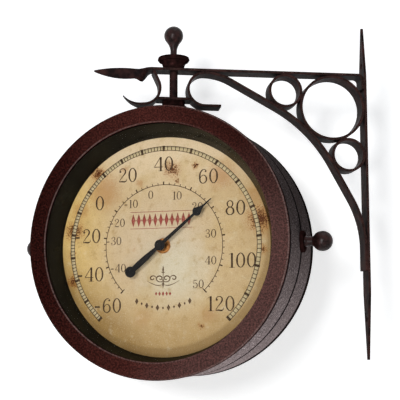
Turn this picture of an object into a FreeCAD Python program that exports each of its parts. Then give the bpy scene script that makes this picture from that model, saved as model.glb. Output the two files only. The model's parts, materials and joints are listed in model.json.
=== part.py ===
import FreeCAD, Part
import math
import os
import Sketcher

# Double-sided round drum, thermometer in front and clock behind, hung from a wrought wall bracket.
# Frame: origin on the wall, midway between the two wall screws; +X into the wall, -Y towards the
# viewer of the thermometer side, +Z up. Millimetres and degrees.

os.makedirs("parts", exist_ok=True)
doc = FreeCAD.newDocument("station_clock")

# Driving dimensions
sizes = {
    # bracket
    "rod_offset": 190.5,           # wall face to the axis of the hanging rod
    "strap_width": 19.0,           # width of every forged strap
    "strap_thickness": 2.5,
    "plate_length": 328.0,
    "plate_top_point_length": 51.0,  # leaf point, from the underside of the arm up
    "plate_foot_point_length": 64.0,
    "plate_point_width": 2.4,      # blunt end of both leaf points
    "wall_screw_inset": 39.0,      # each screw hole to the nearer end of the plate
    "wall_screw_hole": 5.5,
    "weld_gap": 0.1,               # between welded straps that touch along a line
    "brace_lower_bend": 100.0,     # outer radius where the brace meets the plate
    "brace_tail_length": 22.0,     # stretch that lies flat on the wall plate
    "leg_offset": 12.4,            # rod axis to the face of each curled leg
    "leg_drop": 35.0,              # underside of the arm to the lowest face of the curls
    "foot_length": 15.6,
    "horn_radius": 23.3,
    "horn_turn": 56.0,
    "horn_tip_thickness": 0.8,
    "arm_bend_radius": 4.0,        # inside of the bend at the wall end of the arm
    "arm_tab_length": 9.0,
    "twist_start": 22.0,           # rod axis to where the arm begins to twist
    "twist_length": 16.0,
    "spear_length": 39.0,
    "spear_height": 9.6,
    "spear_tip_height": 1.2,
    # hanging rod and what is on it
    "rod_diameter": 8.0,
    "rod_running_gap": 0.08,       # radial clearance of the rod in the arm and the cross plate
    "thrust_gap": 0.3,             # between faces that slide over each other
    "fit_gap": 0.1,                # radial gap of pieces that fit one in another
    "stud_diameter": 4.0,
    "stud_engagement": 7.0,
    "cup_foot_diameter": 20.0,
    "cup_rim_diameter": 31.0,
    "cup_height": 11.5,
    "cup_rim_height": 4.0,
    "ball_diameter": 18.7,
    "finial_height": 22.3,         # cup to the middle of the ball
    "finial_neck_diameter": 6.4,
    "finial_foot_diameter": 9.0,
    "finial_foot_height": 3.2,
    "hanging_gap": 14.4,           # underside of the cross plate to the top of the drum
    "boss_diameter": 27.0,
    "boss_neck_diameter": 22.0,
    "nut_width": 13.0,
    "nut_height": 6.5,
    "washer_diameter": 17.0,
    "washer_thickness": 1.6,
    # drum
    "rest_swivel": 25.0,           # turn of the drum about the rod in the stored pose
    "drum_radius": 125.0,
    "drum_depth": 102.0,
    "bezel_face_width": 16.3,
    "bezel_thickness": 2.6,
    "bezel_edge_round": 1.0,
    "bezel_skirt_length": 12.0,
    "groove_width": 1.8,
    "barrel_inset": 0.6,           # barrel below the edge of the bezel
    "shell_wall": 1.6,
    "seam_width": 0.6,
    "seam_chamfer": 0.7,
    "band_width": 28.0,
    "lens_thickness": 2.0,
    "lens_overlap": 7.0,
    "dial_sink": 3.0,              # the dials sit this much below the middle of the drum
    "dial_recess": 24.0,           # front of the bezel to the face of the dial
    "reveal_slope": 6.7,          # the dial opening is this much smaller than the bezel's
    "dial_overlap": 4.0,
    "dial_thickness": 0.8,
    "reveal_wall": 1.2,
    "spacer_diameter": 6.0,
    "spacer_inset": 6.0,           # from the edge of the dial opening to the middle of a spacer
    # side knobs
    "knob_reach": 19.5,            # barrel to the middle of the ball
    "knob_neck_diameter": 8.6,
    "flange_diameter": 20.0,
    "flange_thickness": 3.4,
    # thermometer works
    "bushing_radius": 7.0,
    "bushing_height": 2.0,
    "shaft_diameter": 2.0,
    "pointer_thickness": 0.8,
    "pointer_angle": 40.0,         # above the horizontal, to the right
    "pointer_head_width": 8.4,
    "tail_disc_radius": 5.1,
    "pointer_stem_width": 2.0,
    "pointer_tail_width": 5.8,
    "pointer_hub_radius": 5.0,
    "coil_pitch": 2.2,
    "coil_strip_thickness": 0.6,
    "coil_strip_width": 5.0,
    "coil_start_radius": 3.4,
    "coil_gap_behind_dial": 3.0,
    "bridge_width": 10.0,
    "bridge_thickness": 1.0,
    # clock works
    "movement_width": 56.0,
    "battery_play": 0.9,
    "movement_wall": 1.6,
    "movement_lid_thickness": 1.5,
    "battery_diameter": 14.5,
    "battery_length": 50.5,
    "contact_thickness": 0.4,
    "contact_width": 8.0,
    "post_diameter": 8.0,
    "movement_nut_width": 12.0,
    "movement_nut_height": 2.0,
    "tube_diameter": 5.0,
    "arbor_diameter": 3.2,
    "running_gap": 0.06,           # radial clearance of tube on arbor and tube in post
    "hand_thickness": 0.6,
    "hand_hub_radius": 4.5,
    "hand_width": 5.0,
    "hand_nut_diameter": 5.0,
    "hand_nut_height": 2.0,
    "setting_wheel_diameter": 14.0,
    "setting_wheel_height": 3.0,
}

# Counts and shapes that have no length
ring_side_count = 2
spacer_count = 4
spacer_first_angle = 45.0
coil_turns = 5
twist_section_count = 7
twist_angle = -90.0
minute_hand_angle = 60.0
hour_hand_angle = -55.0
hex_sides = 6
brace_radius_share = 0.7423        # of the rod's distance from the wall
big_ring_share = 0.1564            # bore radius, of the same distance
cross_plate_share = 0.76           # of the depth of the curls
boss_share = 0.65                  # of the gap between drum and cross plate
pointer_level_share = 0.47         # of the room between dial and lens, and the next three
hour_hand_level_share = 0.40
minute_hand_level_share = 0.55
post_level_share = 0.30
pointer_length_share = 0.629       # of the radius of the dial opening, and the next five
pointer_head_share = 0.45
pointer_tail_share = 0.368
pointer_root_share = 1.7            # width of the stem at the hub, of that at the head
pointer_tip_share = 0.35
# Half outline of the pointer's head and tail: how far along, and how wide
head_outline_shares = ((-0.42, 0.28), (-0.28, 0.68), (-0.1, 0.95), (0.08, 1.0), (0.3, 0.8), (0.62, 0.44), (1.0, 0.22))
tail_outline_shares = ((1.0, 0.78), (0.72, 1.0), (0.45, 0.94), (0.16, 0.6))
minute_hand_share = 0.80
hour_hand_share = 0.56
hand_tail_share = 0.18
cup_waist_share = 0.45
ball_join_share = 0.72
spear_belly_share = 0.5
hand_belly_share = 0.62
scroll_start_angle = 25.0

sheet = doc.addObject("Spreadsheet::Sheet", "Sizes")
for row, (alias, number) in enumerate(sizes.items(), start=1):
    sheet.set(f"A{row}", alias)
    sheet.set(f"B{row}", str(number))
    sheet.setAlias(f"B{row}", alias)
doc.recompute()


class Size:
    """A length from the sheet, or one worked out from it, with the formula that gives it."""

    def __init__(self, value, formula):
        self.value = float(value)
        self.formula = formula

    def __add__(self, other):
        other = as_size(other)
        return Size(self.value + other.value, f"({self.formula} + {other.formula})")

    def __sub__(self, other):
        other = as_size(other)
        return Size(self.value - other.value, f"({self.formula} - {other.formula})")

    def __mul__(self, factor):
        factor = as_size(factor)
        return Size(self.value * factor.value, f"({self.formula} * {factor.formula})")

    def __truediv__(self, factor):
        factor = as_size(factor)
        return Size(self.value / factor.value, f"({self.formula} / {factor.formula})")

    def __neg__(self):
        return Size(-self.value, f"(-1 * {self.formula})")

    __rmul__ = __mul__

    def root(self):
        return Size(math.sqrt(self.value), f"sqrt({self.formula})")


def as_size(number):
    if isinstance(number, Size):
        return number
    return Size(number, repr(float(number)))


class SheetSizes:
    """Reads a size of the sheet by its alias."""

    def __getattr__(self, alias):
        return Size(sheet.get(alias), f"Sizes.{alias}")


s = SheetSizes()
zero = as_size(0)
subparts = []


# Building helpers

def bind(target, path, size):
    target.setExpression(path, as_size(size).formula)


def new_body(label):
    body = doc.addObject("PartDesign::Body", label)
    body.Label = label
    subparts.append(body)
    return body


def new_sketch(body, name, role, offset=None):
    sketch = body.newObject("Sketcher::SketchObject", name)
    origin_plane = next(f for f in body.Origin.OriginFeatures if f.Role == role)
    sketch.AttachmentSupport = [(origin_plane, "")]
    sketch.MapMode = "FlatFace"
    if offset is not None:
        bind(sketch, "AttachmentOffset.Base.z", offset)
    return sketch


def pin_down(sketch, geometry, point, x, y):
    """Ties one point of the sketch to the origin by two formulas."""
    for kind, size, axis in (("DistanceX", x, -2), ("DistanceY", y, -1)):
        if size.value == 0:
            sketch.addConstraint(Sketcher.Constraint("PointOnObject", geometry, point, axis))
        elif size.value > 0:
            index = sketch.addConstraint(Sketcher.Constraint(kind, -1, 1, geometry, point, size.value))
            bind(sketch, f"Constraints[{index}]", size)
        else:
            index = sketch.addConstraint(Sketcher.Constraint(kind, geometry, point, -1, 1, -size.value))
            bind(sketch, f"Constraints[{index}]", -size)


def arc_between(start, end, radius, left, major):
    """Circle arc from start to end, whose centre lies left or right of the way from one to the other."""
    chord = end - start
    half = chord.Length / 2
    height = math.sqrt(max(radius ** 2 - half ** 2, 0))
    across = FreeCAD.Vector(-chord.y, chord.x, 0).normalize()
    side = (1 if left else -1) * (-1 if major else 1)
    centre = (start + end) / 2 + across * side * height
    first, last = (start, end) if left else (end, start)
    first_angle = math.atan2(first.y - centre.y, first.x - centre.x)
    last_angle = math.atan2(last.y - centre.y, last.x - centre.x)
    circle = Part.Circle(centre, FreeCAD.Vector(0, 0, 1), radius)
    return Part.ArcOfCircle(circle, first_angle, last_angle)


def add_outline(sketch, points):
    """Closed outline. Each entry is (x, y), or (x, y, radius, left, major) when an arc leads to it."""
    points = [tuple(as_size(v) for v in p[:2]) + tuple(p[2:]) for p in points]
    places = [FreeCAD.Vector(p[0].value, p[1].value, 0) for p in points]
    ends = []
    for i, point in enumerate(points):
        start = places[i - 1]
        if len(point) == 2:
            index = sketch.addGeometry(Part.LineSegment(start, places[i]))
            ends.append((index, 1, 2))
        else:
            radius, left, major = point[2:]
            index = sketch.addGeometry(arc_between(start, places[i], radius.value, left, major))
            tie = sketch.addConstraint(Sketcher.Constraint("Radius", index, radius.value))
            bind(sketch, f"Constraints[{tie}]", radius)
            ends.append((index, 1, 2) if left else (index, 2, 1))
    for i, (index, first, last) in enumerate(ends):
        following = ends[(i + 1) % len(ends)]
        sketch.addConstraint(Sketcher.Constraint("Coincident", index, last, following[0], following[1]))
        pin_down(sketch, index, last, points[i][0], points[i][1])


def add_circle(sketch, x, y, radius):
    x, y, radius = as_size(x), as_size(y), as_size(radius)
    circle = Part.Circle(FreeCAD.Vector(x.value, y.value, 0), FreeCAD.Vector(0, 0, 1), radius.value)
    index = sketch.addGeometry(circle)
    tie = sketch.addConstraint(Sketcher.Constraint("Radius", index, radius.value))
    bind(sketch, f"Constraints[{tie}]", radius)
    if x.value == 0 and y.value == 0:
        sketch.addConstraint(Sketcher.Constraint("Coincident", index, 3, -1, 1))
    else:
        pin_down(sketch, index, 3, x, y)


def hexagon(across_flats):
    """Corner points of a hexagon with two flats square to the second axis."""
    corner = across_flats / math.sqrt(3)
    turns = [math.radians(60 * i) for i in range(hex_sides)]
    return [(corner * round(math.cos(t), 12), corner * round(math.sin(t), 12)) for t in turns]


def pad(body, sketch, length, both_ways=False, backwards=False):
    feature = body.newObject("PartDesign::Pad", sketch.Name + "_pad")
    feature.Profile = sketch
    bind(feature, "Length", length)
    feature.SideType = "Symmetric" if both_ways else "One side"
    feature.Reversed = backwards
    body.Tip = feature
    return feature


def pocket(body, sketch):
    """Cuts right through the body, both ways from the sketch."""
    feature = body.newObject("PartDesign::Pocket", sketch.Name + "_cut")
    feature.Profile = sketch
    feature.Type = "ThroughAll"
    feature.SideType = "Symmetric"
    body.Tip = feature
    return feature


def revolve(body, sketch, axis="V_Axis", cut=False):
    kind = "PartDesign::Groove" if cut else "PartDesign::Revolution"
    feature = body.newObject(kind, sketch.Name + "_turned")
    feature.Profile = sketch
    feature.ReferenceAxis = (sketch, [axis])
    feature.Angle = 360
    body.Tip = feature
    return feature


def turned(label, role, outline, axis="V_Axis"):
    body = new_body(label)
    sketch = new_sketch(body, label + "_section", role)
    add_outline(sketch, outline)
    revolve(body, sketch, axis)
    return body


def hang(target):
    """Places a piece that is modelled about the middle of the drum."""
    bind(target, "Placement.Base.x", -s.rod_offset)
    bind(target, "Placement.Base.z", -drum_drop)
    bind(target, "Placement.Rotation.Angle", -s.rest_swivel)


def hang_on_dial_axis(target):
    """Places a piece that is modelled about the middle of the dials."""
    hang(target)
    bind(target, "Placement.Base.z", -drum_drop - s.dial_sink)


def feature_from(label, shape):
    piece = doc.addObject("Part::Feature", label)
    piece.Label = label
    piece.Shape = shape
    subparts.append(piece)
    return piece


# Places that several pieces share

plate_face = -s.strap_thickness
arm_under = s.plate_length / 2 - s.plate_top_point_length
arm_top = arm_under + s.strap_thickness
half_width = s.strap_width / 2
rod_radius = s.rod_diameter / 2
rod_hole_radius = rod_radius + s.rod_running_gap
rod_x = -s.rod_offset

# The small rings touch the arm or the plate, the big ring and the brace, each with the weld gap.
# Half the gap is added to every radius, so the circles may be taken as touching.
half_gap = s.weld_gap / 2
big_radius = s.rod_offset * big_ring_share + s.strap_thickness
big_reach = big_radius + half_gap
brace_radius = s.rod_offset * brace_radius_share
brace_reach = brace_radius + half_gap
brace_corner = (brace_reach + big_reach) / math.sqrt(2) + big_reach
ring_square = brace_corner * brace_corner
square_term = big_reach * 4 - brace_corner * 2 - brace_reach * 2
linear_term = (brace_corner - big_reach) * big_reach.root() * -4
constant_term = (brace_corner - big_reach) * (brace_corner - big_reach) + ring_square
constant_term = constant_term - brace_reach * brace_reach
spread = (linear_term * linear_term - square_term * constant_term * 4).root()
small_reach_root = (linear_term + spread) / (square_term * -2)
small_reach = small_reach_root * small_reach_root
small_radius = small_reach - half_gap
ring_step = (big_reach * small_reach).root() * 2
corner_x = plate_face - half_gap
corner_z = arm_under - half_gap
big_ring_x = corner_x - big_reach
big_ring_z = corner_z - big_reach
curl_radius = s.leg_drop / 2
cross_plate_top = arm_under - s.leg_drop * cross_plate_share
cross_plate_under = cross_plate_top - s.strap_thickness
drum_drop = s.drum_radius + s.hanging_gap - cross_plate_under


# Wall plate

def make_wall_plate():
    body = new_body("wall_plate")
    blank = new_sketch(body, "plate_outline", "YZ_Plane")
    half = s.plate_length / 2
    shoulder = arm_under
    foot = half - s.plate_foot_point_length
    tip = s.plate_point_width / 2
    add_outline(blank, [
        (-half_width, -foot), (-tip, -half), (tip, -half), (half_width, -foot),
        (half_width, shoulder), (tip, half), (-tip, half), (-half_width, shoulder),
    ])
    pad(body, blank, s.strap_thickness, backwards=True)
    holes = new_sketch(body, "plate_holes", "YZ_Plane")
    hole_z = half - s.wall_screw_inset
    for side in (1, -1):
        add_circle(holes, zero, hole_z * side, s.wall_screw_hole / 2)
    pocket(body, holes)


# Top arm: flat strap, twist and spear

def rectangle_at(x, middle_z, width, height, angle):
    """Rectangle across the arm, turned about the arm's own direction."""
    turn = FreeCAD.Rotation(FreeCAD.Vector(1, 0, 0), angle)
    corners = []
    for y_side, z_side in ((-1, -1), (1, -1), (1, 1), (-1, 1)):
        corner = turn.multVec(FreeCAD.Vector(0, y_side * width / 2, z_side * height / 2))
        corners.append(corner + FreeCAD.Vector(x, 0, middle_z))
    return Part.makePolygon(corners + corners[:1])


def sink_of(width, height, angle):
    """How far a turned section drops so that its highest corner stays level with the arm."""
    turn = math.radians(abs(angle))
    return (width * math.sin(turn) + height * math.cos(turn) - height) / 2


def make_top_arm():
    thickness = s.strap_thickness.value
    start_x = (rod_x - s.twist_start).value
    end_x = (rod_x - s.twist_start - s.twist_length).value
    middle_z = (arm_under + s.strap_thickness / 2).value
    bend = s.arm_bend_radius.value + thickness
    flat_length = (plate_face - s.weld_gap).value - bend - start_x
    flat = strap((start_x, 0, arm_top.value), 0, [
        ("run", flat_length), ("bend", bend, 90), ("run", s.arm_tab_length.value)], -1)
    hole = Part.makeCylinder(rod_hole_radius.value, thickness,
                             FreeCAD.Vector(rod_x.value, 0, arm_under.value))
    sections = []
    for step in range(twist_section_count):
        share = step / (twist_section_count - 1)
        ease = share * share * (3 - 2 * share)
        x = start_x + share * (end_x - start_x)
        width = s.strap_width.value + ease * (s.spear_height - s.strap_width).value
        turn = twist_angle * ease
        sections.append(rectangle_at(x, middle_z - sink_of(width, thickness, turn), width, thickness, turn))
    twist = Part.makeLoft(sections, True, True)
    spear_z = middle_z - sink_of(s.spear_height.value, thickness, twist_angle)
    tip_x = end_x - s.spear_length.value
    belly_x = end_x - s.spear_length.value * spear_belly_share
    half = s.spear_height.value / 2
    tip = s.spear_tip_height.value / 2
    tip_z = spear_z + s.spear_tip_height.value
    upper = Part.Arc(FreeCAD.Vector(end_x, 0, spear_z + half), FreeCAD.Vector(belly_x, 0, spear_z + half),
                     FreeCAD.Vector(tip_x, 0, tip_z + tip)).toShape()
    lower = Part.Arc(FreeCAD.Vector(tip_x, 0, tip_z - tip), FreeCAD.Vector(belly_x, 0, spear_z - half),
                     FreeCAD.Vector(end_x, 0, spear_z - half)).toShape()
    nose = Part.makeLine(FreeCAD.Vector(tip_x, 0, tip_z + tip), FreeCAD.Vector(tip_x, 0, tip_z - tip))
    root = Part.makeLine(FreeCAD.Vector(end_x, 0, spear_z - half), FreeCAD.Vector(end_x, 0, spear_z + half))
    leaf = Part.Face(Part.Wire([upper, nose, lower, root]))
    leaf.translate(FreeCAD.Vector(0, -thickness / 2, 0))
    spear = leaf.extrude(FreeCAD.Vector(0, thickness, 0))
    feature_from("top_arm", flat.cut(hole).fuse([twist, spear]).removeSplitter())


# Bent straps

def strap(start, heading, moves, turn_side, last_point=None):
    """Strap bent in the XZ plane. Its working face follows the moves from start; the strap's
    thickness lies on the side that it turns to, 1 for left of the way and -1 for right.
    A move is ("run", length) or ("bend", radius of the working face, degrees)."""
    thickness = s.strap_thickness.value
    face_edges = []
    back_edges = []
    point = FreeCAD.Vector(*start)
    angle = math.radians(heading)

    def across(a):
        return FreeCAD.Vector(-math.sin(a) * turn_side, 0, math.cos(a) * turn_side)

    for index, (kind, size, *turn) in enumerate(moves):
        back = point + across(angle) * thickness
        if kind == "run":
            # a straight stretch
            ahead = FreeCAD.Vector(math.cos(angle), 0, math.sin(angle)) * size
            face_edges.append(Part.makeLine(point, point + ahead))
            back_edges.append(Part.makeLine(back, back + ahead))
            point = point + ahead
            continue
        centre = point + across(angle) * size
        sweep = math.radians(turn[0]) * turn_side
        middle = angle + sweep / 2
        final = angle + sweep
        end = centre - across(final) * size
        face_edges.append(Part.Arc(point, centre - across(middle) * size, end).toShape())
        inner = size - thickness
        back_end = centre - across(final) * inner
        back_middle = centre - across(middle) * inner
        if last_point is not None and index == len(moves) - 1:
            tip = end + across(final) * last_point
            back_middle = (back + tip) / 2 + (back_middle - (back + back_end) / 2)
            back_end = tip
        back_edges.append(Part.Arc(back, back_middle, back_end).toShape())
        point = end
        angle = final
    closing = [Part.makeLine(face_edges[-1].Vertexes[-1].Point, back_edges[-1].Vertexes[-1].Point),
               Part.makeLine(back_edges[0].Vertexes[0].Point, face_edges[0].Vertexes[0].Point)]
    wire = Part.Wire(Part.__sortEdges__(face_edges + [closing[0]] + back_edges[::-1] + [closing[1]]))
    face = Part.Face(wire)
    face.translate(FreeCAD.Vector(0, -half_width.value, 0))
    return face.extrude(FreeCAD.Vector(0, s.strap_width.value, 0))


def make_brace_strap():
    corner = brace_corner.value
    reach = brace_reach.value
    ring_from_corner = big_reach.value + ring_step.value
    slope = math.atan2(corner - ring_from_corner, corner - small_reach.value)
    turn = math.degrees(slope)
    along, away = math.cos(slope), math.sin(slope)
    radius = brace_radius.value
    lower_bend = s.brace_lower_bend.value
    curl = curl_radius.value
    # from where the brace leaves each small ring, across to the arm or the plate
    rise = corner - radius * along - half_gap.value
    ring_end_x = corner_x.value - corner + radius * away
    ring_end_z = corner_z.value - corner + radius * away
    curl_x = (rod_x + s.leg_offset).value + curl
    # the upper bend ends against the arm just where the curl begins
    upper_bend = (ring_end_x - curl_x - rise * along / away) / math.tan(slope / 2)
    upper_run = (rise - upper_bend * (1 - along)) / away
    lower_run = (rise - lower_bend * (1 - along)) / away
    start_z = ring_end_z - lower_run * along - lower_bend * away - s.brace_tail_length.value
    start = (corner_x.value - half_gap.value, 0, start_z)
    moves = [
        ("run", s.brace_tail_length.value),
        ("bend", lower_bend, turn),
        ("run", lower_run),
        ("bend", radius, 90 - 2 * turn),
        ("run", upper_run),
        ("bend", upper_bend, turn),
        ("bend", curl, 180),
        ("run", s.foot_length.value),
    ]
    print("brace: turn %.2f, small ring %.2f, upper bend %.2f, runs %.1f and %.1f" % (
        turn, small_radius.value, upper_bend, lower_run, upper_run))
    feature_from("brace_strap", strap(start, 90, moves, 1))


def make_left_scroll():
    curl = curl_radius.value
    centre_x = (rod_x - s.leg_offset).value - curl
    centre_z = arm_under.value - curl
    angle = math.radians(scroll_start_angle)
    run = (curl - curl * math.sin(angle)) / math.cos(angle)
    top_x = centre_x + curl * math.cos(angle) - run * math.sin(angle)
    moves = [
        ("run", run),
        ("bend", curl, 90 + scroll_start_angle),
        ("bend", s.horn_radius.value, s.horn_turn.value),
    ]
    shape = strap((top_x, 0, arm_under.value), scroll_start_angle - 90, moves, -1,
                  last_point=s.horn_tip_thickness.value)
    trim = Part.makeBox(4 * curl, s.strap_width.value, curl, FreeCAD.Vector(
        centre_x - curl, -half_width.value, (arm_under - s.weld_gap).value))
    shape = shape.cut(trim)
    # the horn narrows to a point, seen from above
    tip_x = shape.BoundBox.XMin
    root_x = centre_x
    tip_half = s.plate_point_width.value / 2
    for side in (1, -1):
        wedge = Part.makePolygon([
            FreeCAD.Vector(root_x, side * half_width.value, 0),
            FreeCAD.Vector(tip_x, side * tip_half, 0),
            FreeCAD.Vector(tip_x - curl, side * tip_half, 0),
            FreeCAD.Vector(tip_x - curl, side * s.strap_width.value, 0),
            FreeCAD.Vector(root_x, side * s.strap_width.value, 0),
            FreeCAD.Vector(root_x, side * half_width.value, 0)])
        shape = shape.cut(Part.Face(wedge).extrude(FreeCAD.Vector(0, 0, s.plate_length.value)))
    feature_from("left_scroll", shape)


def make_cross_plate():
    """Strap between the two curls, with ends hollowed to their curve."""
    body = new_body("cross_plate")
    sketch = new_sketch(body, "cross_outline", "XZ_Plane")
    reach = curl_radius + s.weld_gap
    middle = s.leg_offset + curl_radius

    def end_at(level):
        depth = arm_under - curl_radius - level
        return middle - (reach * reach - depth * depth).root()

    high = end_at(cross_plate_top)
    low = end_at(cross_plate_under)
    add_outline(sketch, [
        (rod_x - low, cross_plate_under), (rod_x + low, cross_plate_under),
        (rod_x + high, cross_plate_top, reach, False, False),
        (rod_x - high, cross_plate_top),
        (rod_x - low, cross_plate_under, reach, False, False),
    ][1:])
    pad(body, sketch, s.strap_width, both_ways=True)
    hole = new_sketch(body, "cross_hole", "XY_Plane")
    add_circle(hole, rod_x, zero, rod_hole_radius)
    pocket(body, hole)


def make_ring(label, x, z, radius):
    body = new_body(label)
    sketch = new_sketch(body, label + "_outline", "XZ_Plane")
    add_circle(sketch, x, z, radius)
    add_circle(sketch, x, z, radius - s.strap_thickness)
    pad(body, sketch, s.strap_width, both_ways=True)


make_wall_plate()
make_top_arm()
make_brace_strap()
make_left_scroll()
make_cross_plate()
make_ring("big_ring", big_ring_x, big_ring_z, big_radius)
make_ring("upper_small_ring", big_ring_x - ring_step, corner_z - small_reach, small_radius)
make_ring("lower_small_ring", corner_x - small_reach, big_ring_z - ring_step, small_radius)


# Hanging rod, finial, cup and boss. Heights are above the middle of the drum.

barrel_radius = s.drum_radius - s.barrel_inset
shell_bore = barrel_radius - s.shell_wall
band_radius = shell_bore - s.fit_gap
band_bore = band_radius - s.shell_wall
arm_level = drum_drop + arm_top
cup_foot = arm_level + s.thrust_gap
cup_top = cup_foot + s.cup_height
rod_shoulder = cup_foot + s.cup_height / 2
finial_foot = cup_top
ball_middle = finial_foot + s.finial_height
washer_top = band_bore - s.washer_diameter * s.washer_diameter / (band_bore * 8) - s.weld_gap
nut_top = washer_top - s.washer_thickness - s.weld_gap
rod_bottom = nut_top - s.nut_height * 1.3


def make_pivot_rod():
    stud = s.stud_diameter / 2
    stud_top = finial_foot + s.stud_engagement
    body = turned("pivot_rod", "XZ_Plane", [
        (zero, rod_bottom), (rod_radius, rod_bottom), (rod_radius, rod_shoulder), (stud, rod_shoulder),
        (stud, stud_top), (zero, stud_top),
    ])
    hang(body)


def make_finial_cup():
    foot = s.cup_foot_diameter / 2
    rim = s.cup_rim_diameter / 2
    lip = s.cup_rim_height
    waist = foot + (rim - foot) * cup_waist_share
    dish = cup_top - lip * 0.6
    bore = s.stud_diameter / 2 + s.fit_gap
    wide_bore = rod_radius + s.fit_gap
    body = turned("finial_cup", "XZ_Plane", [
        (wide_bore, cup_foot), (foot, cup_foot), (foot, cup_foot + lip * 0.3),
        (waist, cup_top - lip, s.cup_rim_diameter, False, False),
        (rim - lip * 0.3, cup_top - lip), (rim, cup_top - lip * 0.55), (rim - lip * 0.15, cup_top),
        (rim - lip * 0.6, cup_top), (foot, dish),
        (s.finial_foot_diameter / 2 + s.fit_gap, dish), (s.finial_foot_diameter / 2 + s.fit_gap, cup_top),
        (bore, cup_top), (bore, rod_shoulder + s.fit_gap), (wide_bore, rod_shoulder + s.fit_gap),
    ])
    hang(body)


def ball_outline(axis_start, ball_centre, foot_radius, foot_height, neck_radius, bore_radius, bore_depth):
    """Half section of a ball on a flared neck, from the mouth of the bore up to the top of the ball."""
    ball = s.ball_diameter / 2
    join_x = ball * ball_join_share
    join_drop = ball * math.sqrt(1 - ball_join_share ** 2)
    join_y = ball_centre - join_drop
    neck_y = axis_start + foot_height * 2.2
    return [
        (bore_radius, axis_start), (foot_radius, axis_start), (foot_radius, axis_start + foot_height * 0.4),
        (neck_radius, axis_start + foot_height, foot_height, False, False),
        (neck_radius, neck_y),
        (join_x, join_y, s.ball_diameter * 0.9, False, False),
        (zero, ball_centre + ball, ball, True, False),
        (zero, axis_start + bore_depth), (bore_radius, axis_start + bore_depth),
    ]


def make_top_finial():
    body = turned("top_finial", "XZ_Plane", ball_outline(
        finial_foot + s.weld_gap, ball_middle, s.finial_foot_diameter / 2, s.finial_foot_height,
        s.finial_neck_diameter / 2, s.stud_diameter / 2 + s.fit_gap, s.stud_engagement + s.fit_gap))
    hang(body)


def make_top_boss():
    """Turned boss whose foot is saddled to the barrel."""
    under_cross = drum_drop + cross_plate_under - s.thrust_gap
    shoulder = s.drum_radius + s.hanging_gap * boss_share
    root = s.drum_radius - s.boss_diameter / 4
    bore = rod_radius + s.fit_gap
    wide = s.boss_diameter / 2
    neck = s.boss_neck_diameter / 2
    body = turned("top_boss", "XZ_Plane", [
        (bore, root), (wide, root), (wide, shoulder - s.bezel_edge_round),
        (wide - s.bezel_edge_round, shoulder), (neck, shoulder), (neck, under_cross), (bore, under_cross),
    ])
    saddle = new_sketch(body, "boss_saddle", "XZ_Plane")
    add_circle(saddle, zero, zero, barrel_radius + s.weld_gap)
    pocket(body, saddle)
    hang(body)


def make_rod_washer():
    """Saddle washer under the top of the seam band."""
    body = new_body("rod_washer")
    sketch = new_sketch(body, "washer_outline", "XY_Plane", washer_top)
    add_circle(sketch, zero, zero, s.washer_diameter / 2)
    add_circle(sketch, zero, zero, rod_radius + s.fit_gap)
    pad(body, sketch, s.washer_thickness, backwards=True)
    hang(body)


def make_rod_nut():
    body = new_body("rod_nut")
    sketch = new_sketch(body, "nut_outline", "XY_Plane", nut_top)
    add_outline(sketch, hexagon(s.nut_width))
    add_circle(sketch, zero, zero, rod_radius + s.fit_gap)
    pad(body, sketch, s.nut_height, backwards=True)
    hang(body)


make_pivot_rod()
make_finial_cup()
make_top_finial()
make_top_boss()
make_rod_washer()
make_rod_nut()


# Barrel shells, seam band, bezels, reveals, lenses and dials. Side -1 is the front, 1 the rear.

half_depth = s.drum_depth / 2
bezel_back = half_depth - s.bezel_thickness
shell_front = bezel_back - s.groove_width
skirt_radius = shell_bore - s.fit_gap
skirt_bore = skirt_radius - s.shell_wall
skirt_end = bezel_back - s.bezel_skirt_length
bezel_opening_radius = s.drum_radius - s.bezel_face_width
dial_opening_radius = bezel_opening_radius - s.reveal_slope
lens_radius = bezel_opening_radius + s.lens_overlap
lens_front = bezel_back - s.weld_gap
lens_back = lens_front - s.lens_thickness
dial_face = half_depth - s.dial_recess
dial_radius = dial_opening_radius + s.dial_overlap
knob_hole_radius = s.stud_diameter / 2 + s.fit_gap


def cut_seam_holes(body):
    """Rod hole at the top, knob stud holes left and right, all at mid-depth."""
    rod_hole = new_sketch(body, body.Name + "_rod_hole", "XY_Plane")
    add_circle(rod_hole, zero, zero, rod_radius + s.fit_gap)
    feature = body.newObject("PartDesign::Pocket", rod_hole.Name + "_cut")
    feature.Profile = rod_hole
    feature.Type = "ThroughAll"
    feature.SideType = "One side"
    feature.Reversed = True
    body.Tip = feature
    stud_holes = new_sketch(body, body.Name + "_stud_holes", "YZ_Plane")
    add_circle(stud_holes, zero, zero, knob_hole_radius)
    pocket(body, stud_holes)


def make_shell(label, side):
    seam = s.seam_width / 2
    body = turned(label, "XY_Plane", [
        (shell_bore, seam * side), (barrel_radius - s.seam_chamfer, seam * side),
        (barrel_radius, (seam + s.seam_chamfer) * side),
        (barrel_radius, shell_front * side), (shell_bore, shell_front * side),
    ])
    cut_seam_holes(body)
    hang(body)


def make_seam_band():
    half = s.band_width / 2
    body = turned("seam_band", "XY_Plane", [
        (band_bore, -half), (band_radius, -half), (band_radius, half), (band_bore, half),
    ])
    cut_seam_holes(body)
    hang(body)


def make_bezel(label, side):
    edge = s.bezel_edge_round
    face = half_depth
    body = turned(label, "XY_Plane", [
        (bezel_opening_radius, bezel_back * side),
        (bezel_opening_radius, (face - edge) * side),
        (bezel_opening_radius + edge, face * side, edge, side < 0, False),
        (s.drum_radius - edge, face * side),
        (s.drum_radius, (face - edge) * side, edge, side < 0, False),
        (s.drum_radius, bezel_back * side), (skirt_radius, bezel_back * side),
        (skirt_radius, skirt_end * side), (skirt_bore, skirt_end * side), (skirt_bore, bezel_back * side),
    ])
    hang(body)


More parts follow.
